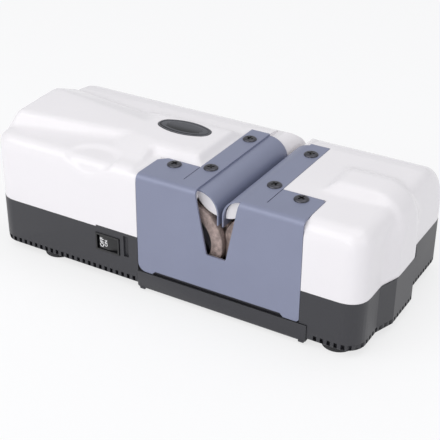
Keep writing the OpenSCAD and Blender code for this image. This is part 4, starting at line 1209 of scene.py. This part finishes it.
def add_world(strength):
    """Even studio surround, seen as white by the camera and in reflections"""
    world = bpy.data.worlds.new("studio_surround")
    world.use_nodes = True
    tree = world.node_tree
    light = tree.nodes["Background"]
    light.inputs["Color"].default_value = linear("#F6F7FA")
    light.inputs["Strength"].default_value = strength
    white = add_node(tree, "ShaderNodeBackground", inputs={"Color": (1, 1, 1, 1), "Strength": 1.0})
    seen = seen_by(tree, "Is Camera Ray", "Is Transmission Ray")
    mix_to(tree, "World Output", seen, light.outputs["Background"], white.outputs["Background"])
    bpy.context.scene.world = world


class SHARPENER_OT_stage(bpy.types.Operator):
    """Adds the floor, the lights and the camera"""

    bl_idname = "sharpener.stage"
    bl_label = "Stage"

    def execute(self, context):
        add_floor()
        add_world(0.66)
        for lamp in LAMPS:
            add_lamp(*lamp)
        add_camera()
        context.scene.view_settings.view_transform = "Standard"
        return {"FINISHED"}


# ---- panel and start ----

STEPS = (
    SHARPENER_OT_shell,
    SHARPENER_OT_base,
    SHARPENER_OT_badge,
    SHARPENER_OT_plate_screws,
    SHARPENER_OT_rings,
    SHARPENER_OT_switch,
    SHARPENER_OT_tray,
    SHARPENER_OT_finishes,
    SHARPENER_OT_stage,
)


class SHARPENER_PT_panel(bpy.types.Panel):
    """Lists the steps that build the sharpener"""

    bl_label = "Knife sharpener"
    bl_idname = "SHARPENER_PT_panel"
    bl_space_type = "VIEW_3D"
    bl_region_type = "UI"
    bl_category = "Sharpener"

    def draw(self, context):
        for group in (context.scene.sharpener_shell, context.scene.sharpener_colours):
            for name in group.bl_rna.properties.keys():
                if name not in ("name", "rna_type"):
                    self.layout.prop(group, name)
        for step in STEPS:
            self.layout.operator(step.bl_idname)


CLASSES = (ShellSettings, ColourSettings, *STEPS, SHARPENER_PT_panel)
MATERIALS = {}


def register():
    for each in CLASSES:
        bpy.utils.register_class(each)
    bpy.types.Scene.sharpener_shell = bpy.props.PointerProperty(type=ShellSettings)
    bpy.types.Scene.sharpener_colours = bpy.props.PointerProperty(type=ColourSettings)


def unregister():
    del bpy.types.Scene.sharpener_shell
    del bpy.types.Scene.sharpener_colours
    for each in reversed(CLASSES):
        bpy.utils.unregister_class(each)


def main():
    register()
    MATERIALS.update(make_materials())
    bpy.ops.sharpener.shell()
    bpy.ops.sharpener.base()
    bpy.ops.sharpener.badge()
    bpy.ops.sharpener.plate_screws()
    bpy.ops.sharpener.rings()
    bpy.ops.sharpener.switch()
    bpy.ops.sharpener.tray()
    bpy.ops.sharpener.finishes()
    bpy.ops.sharpener.stage()


if __name__ == "__main__":
    main()
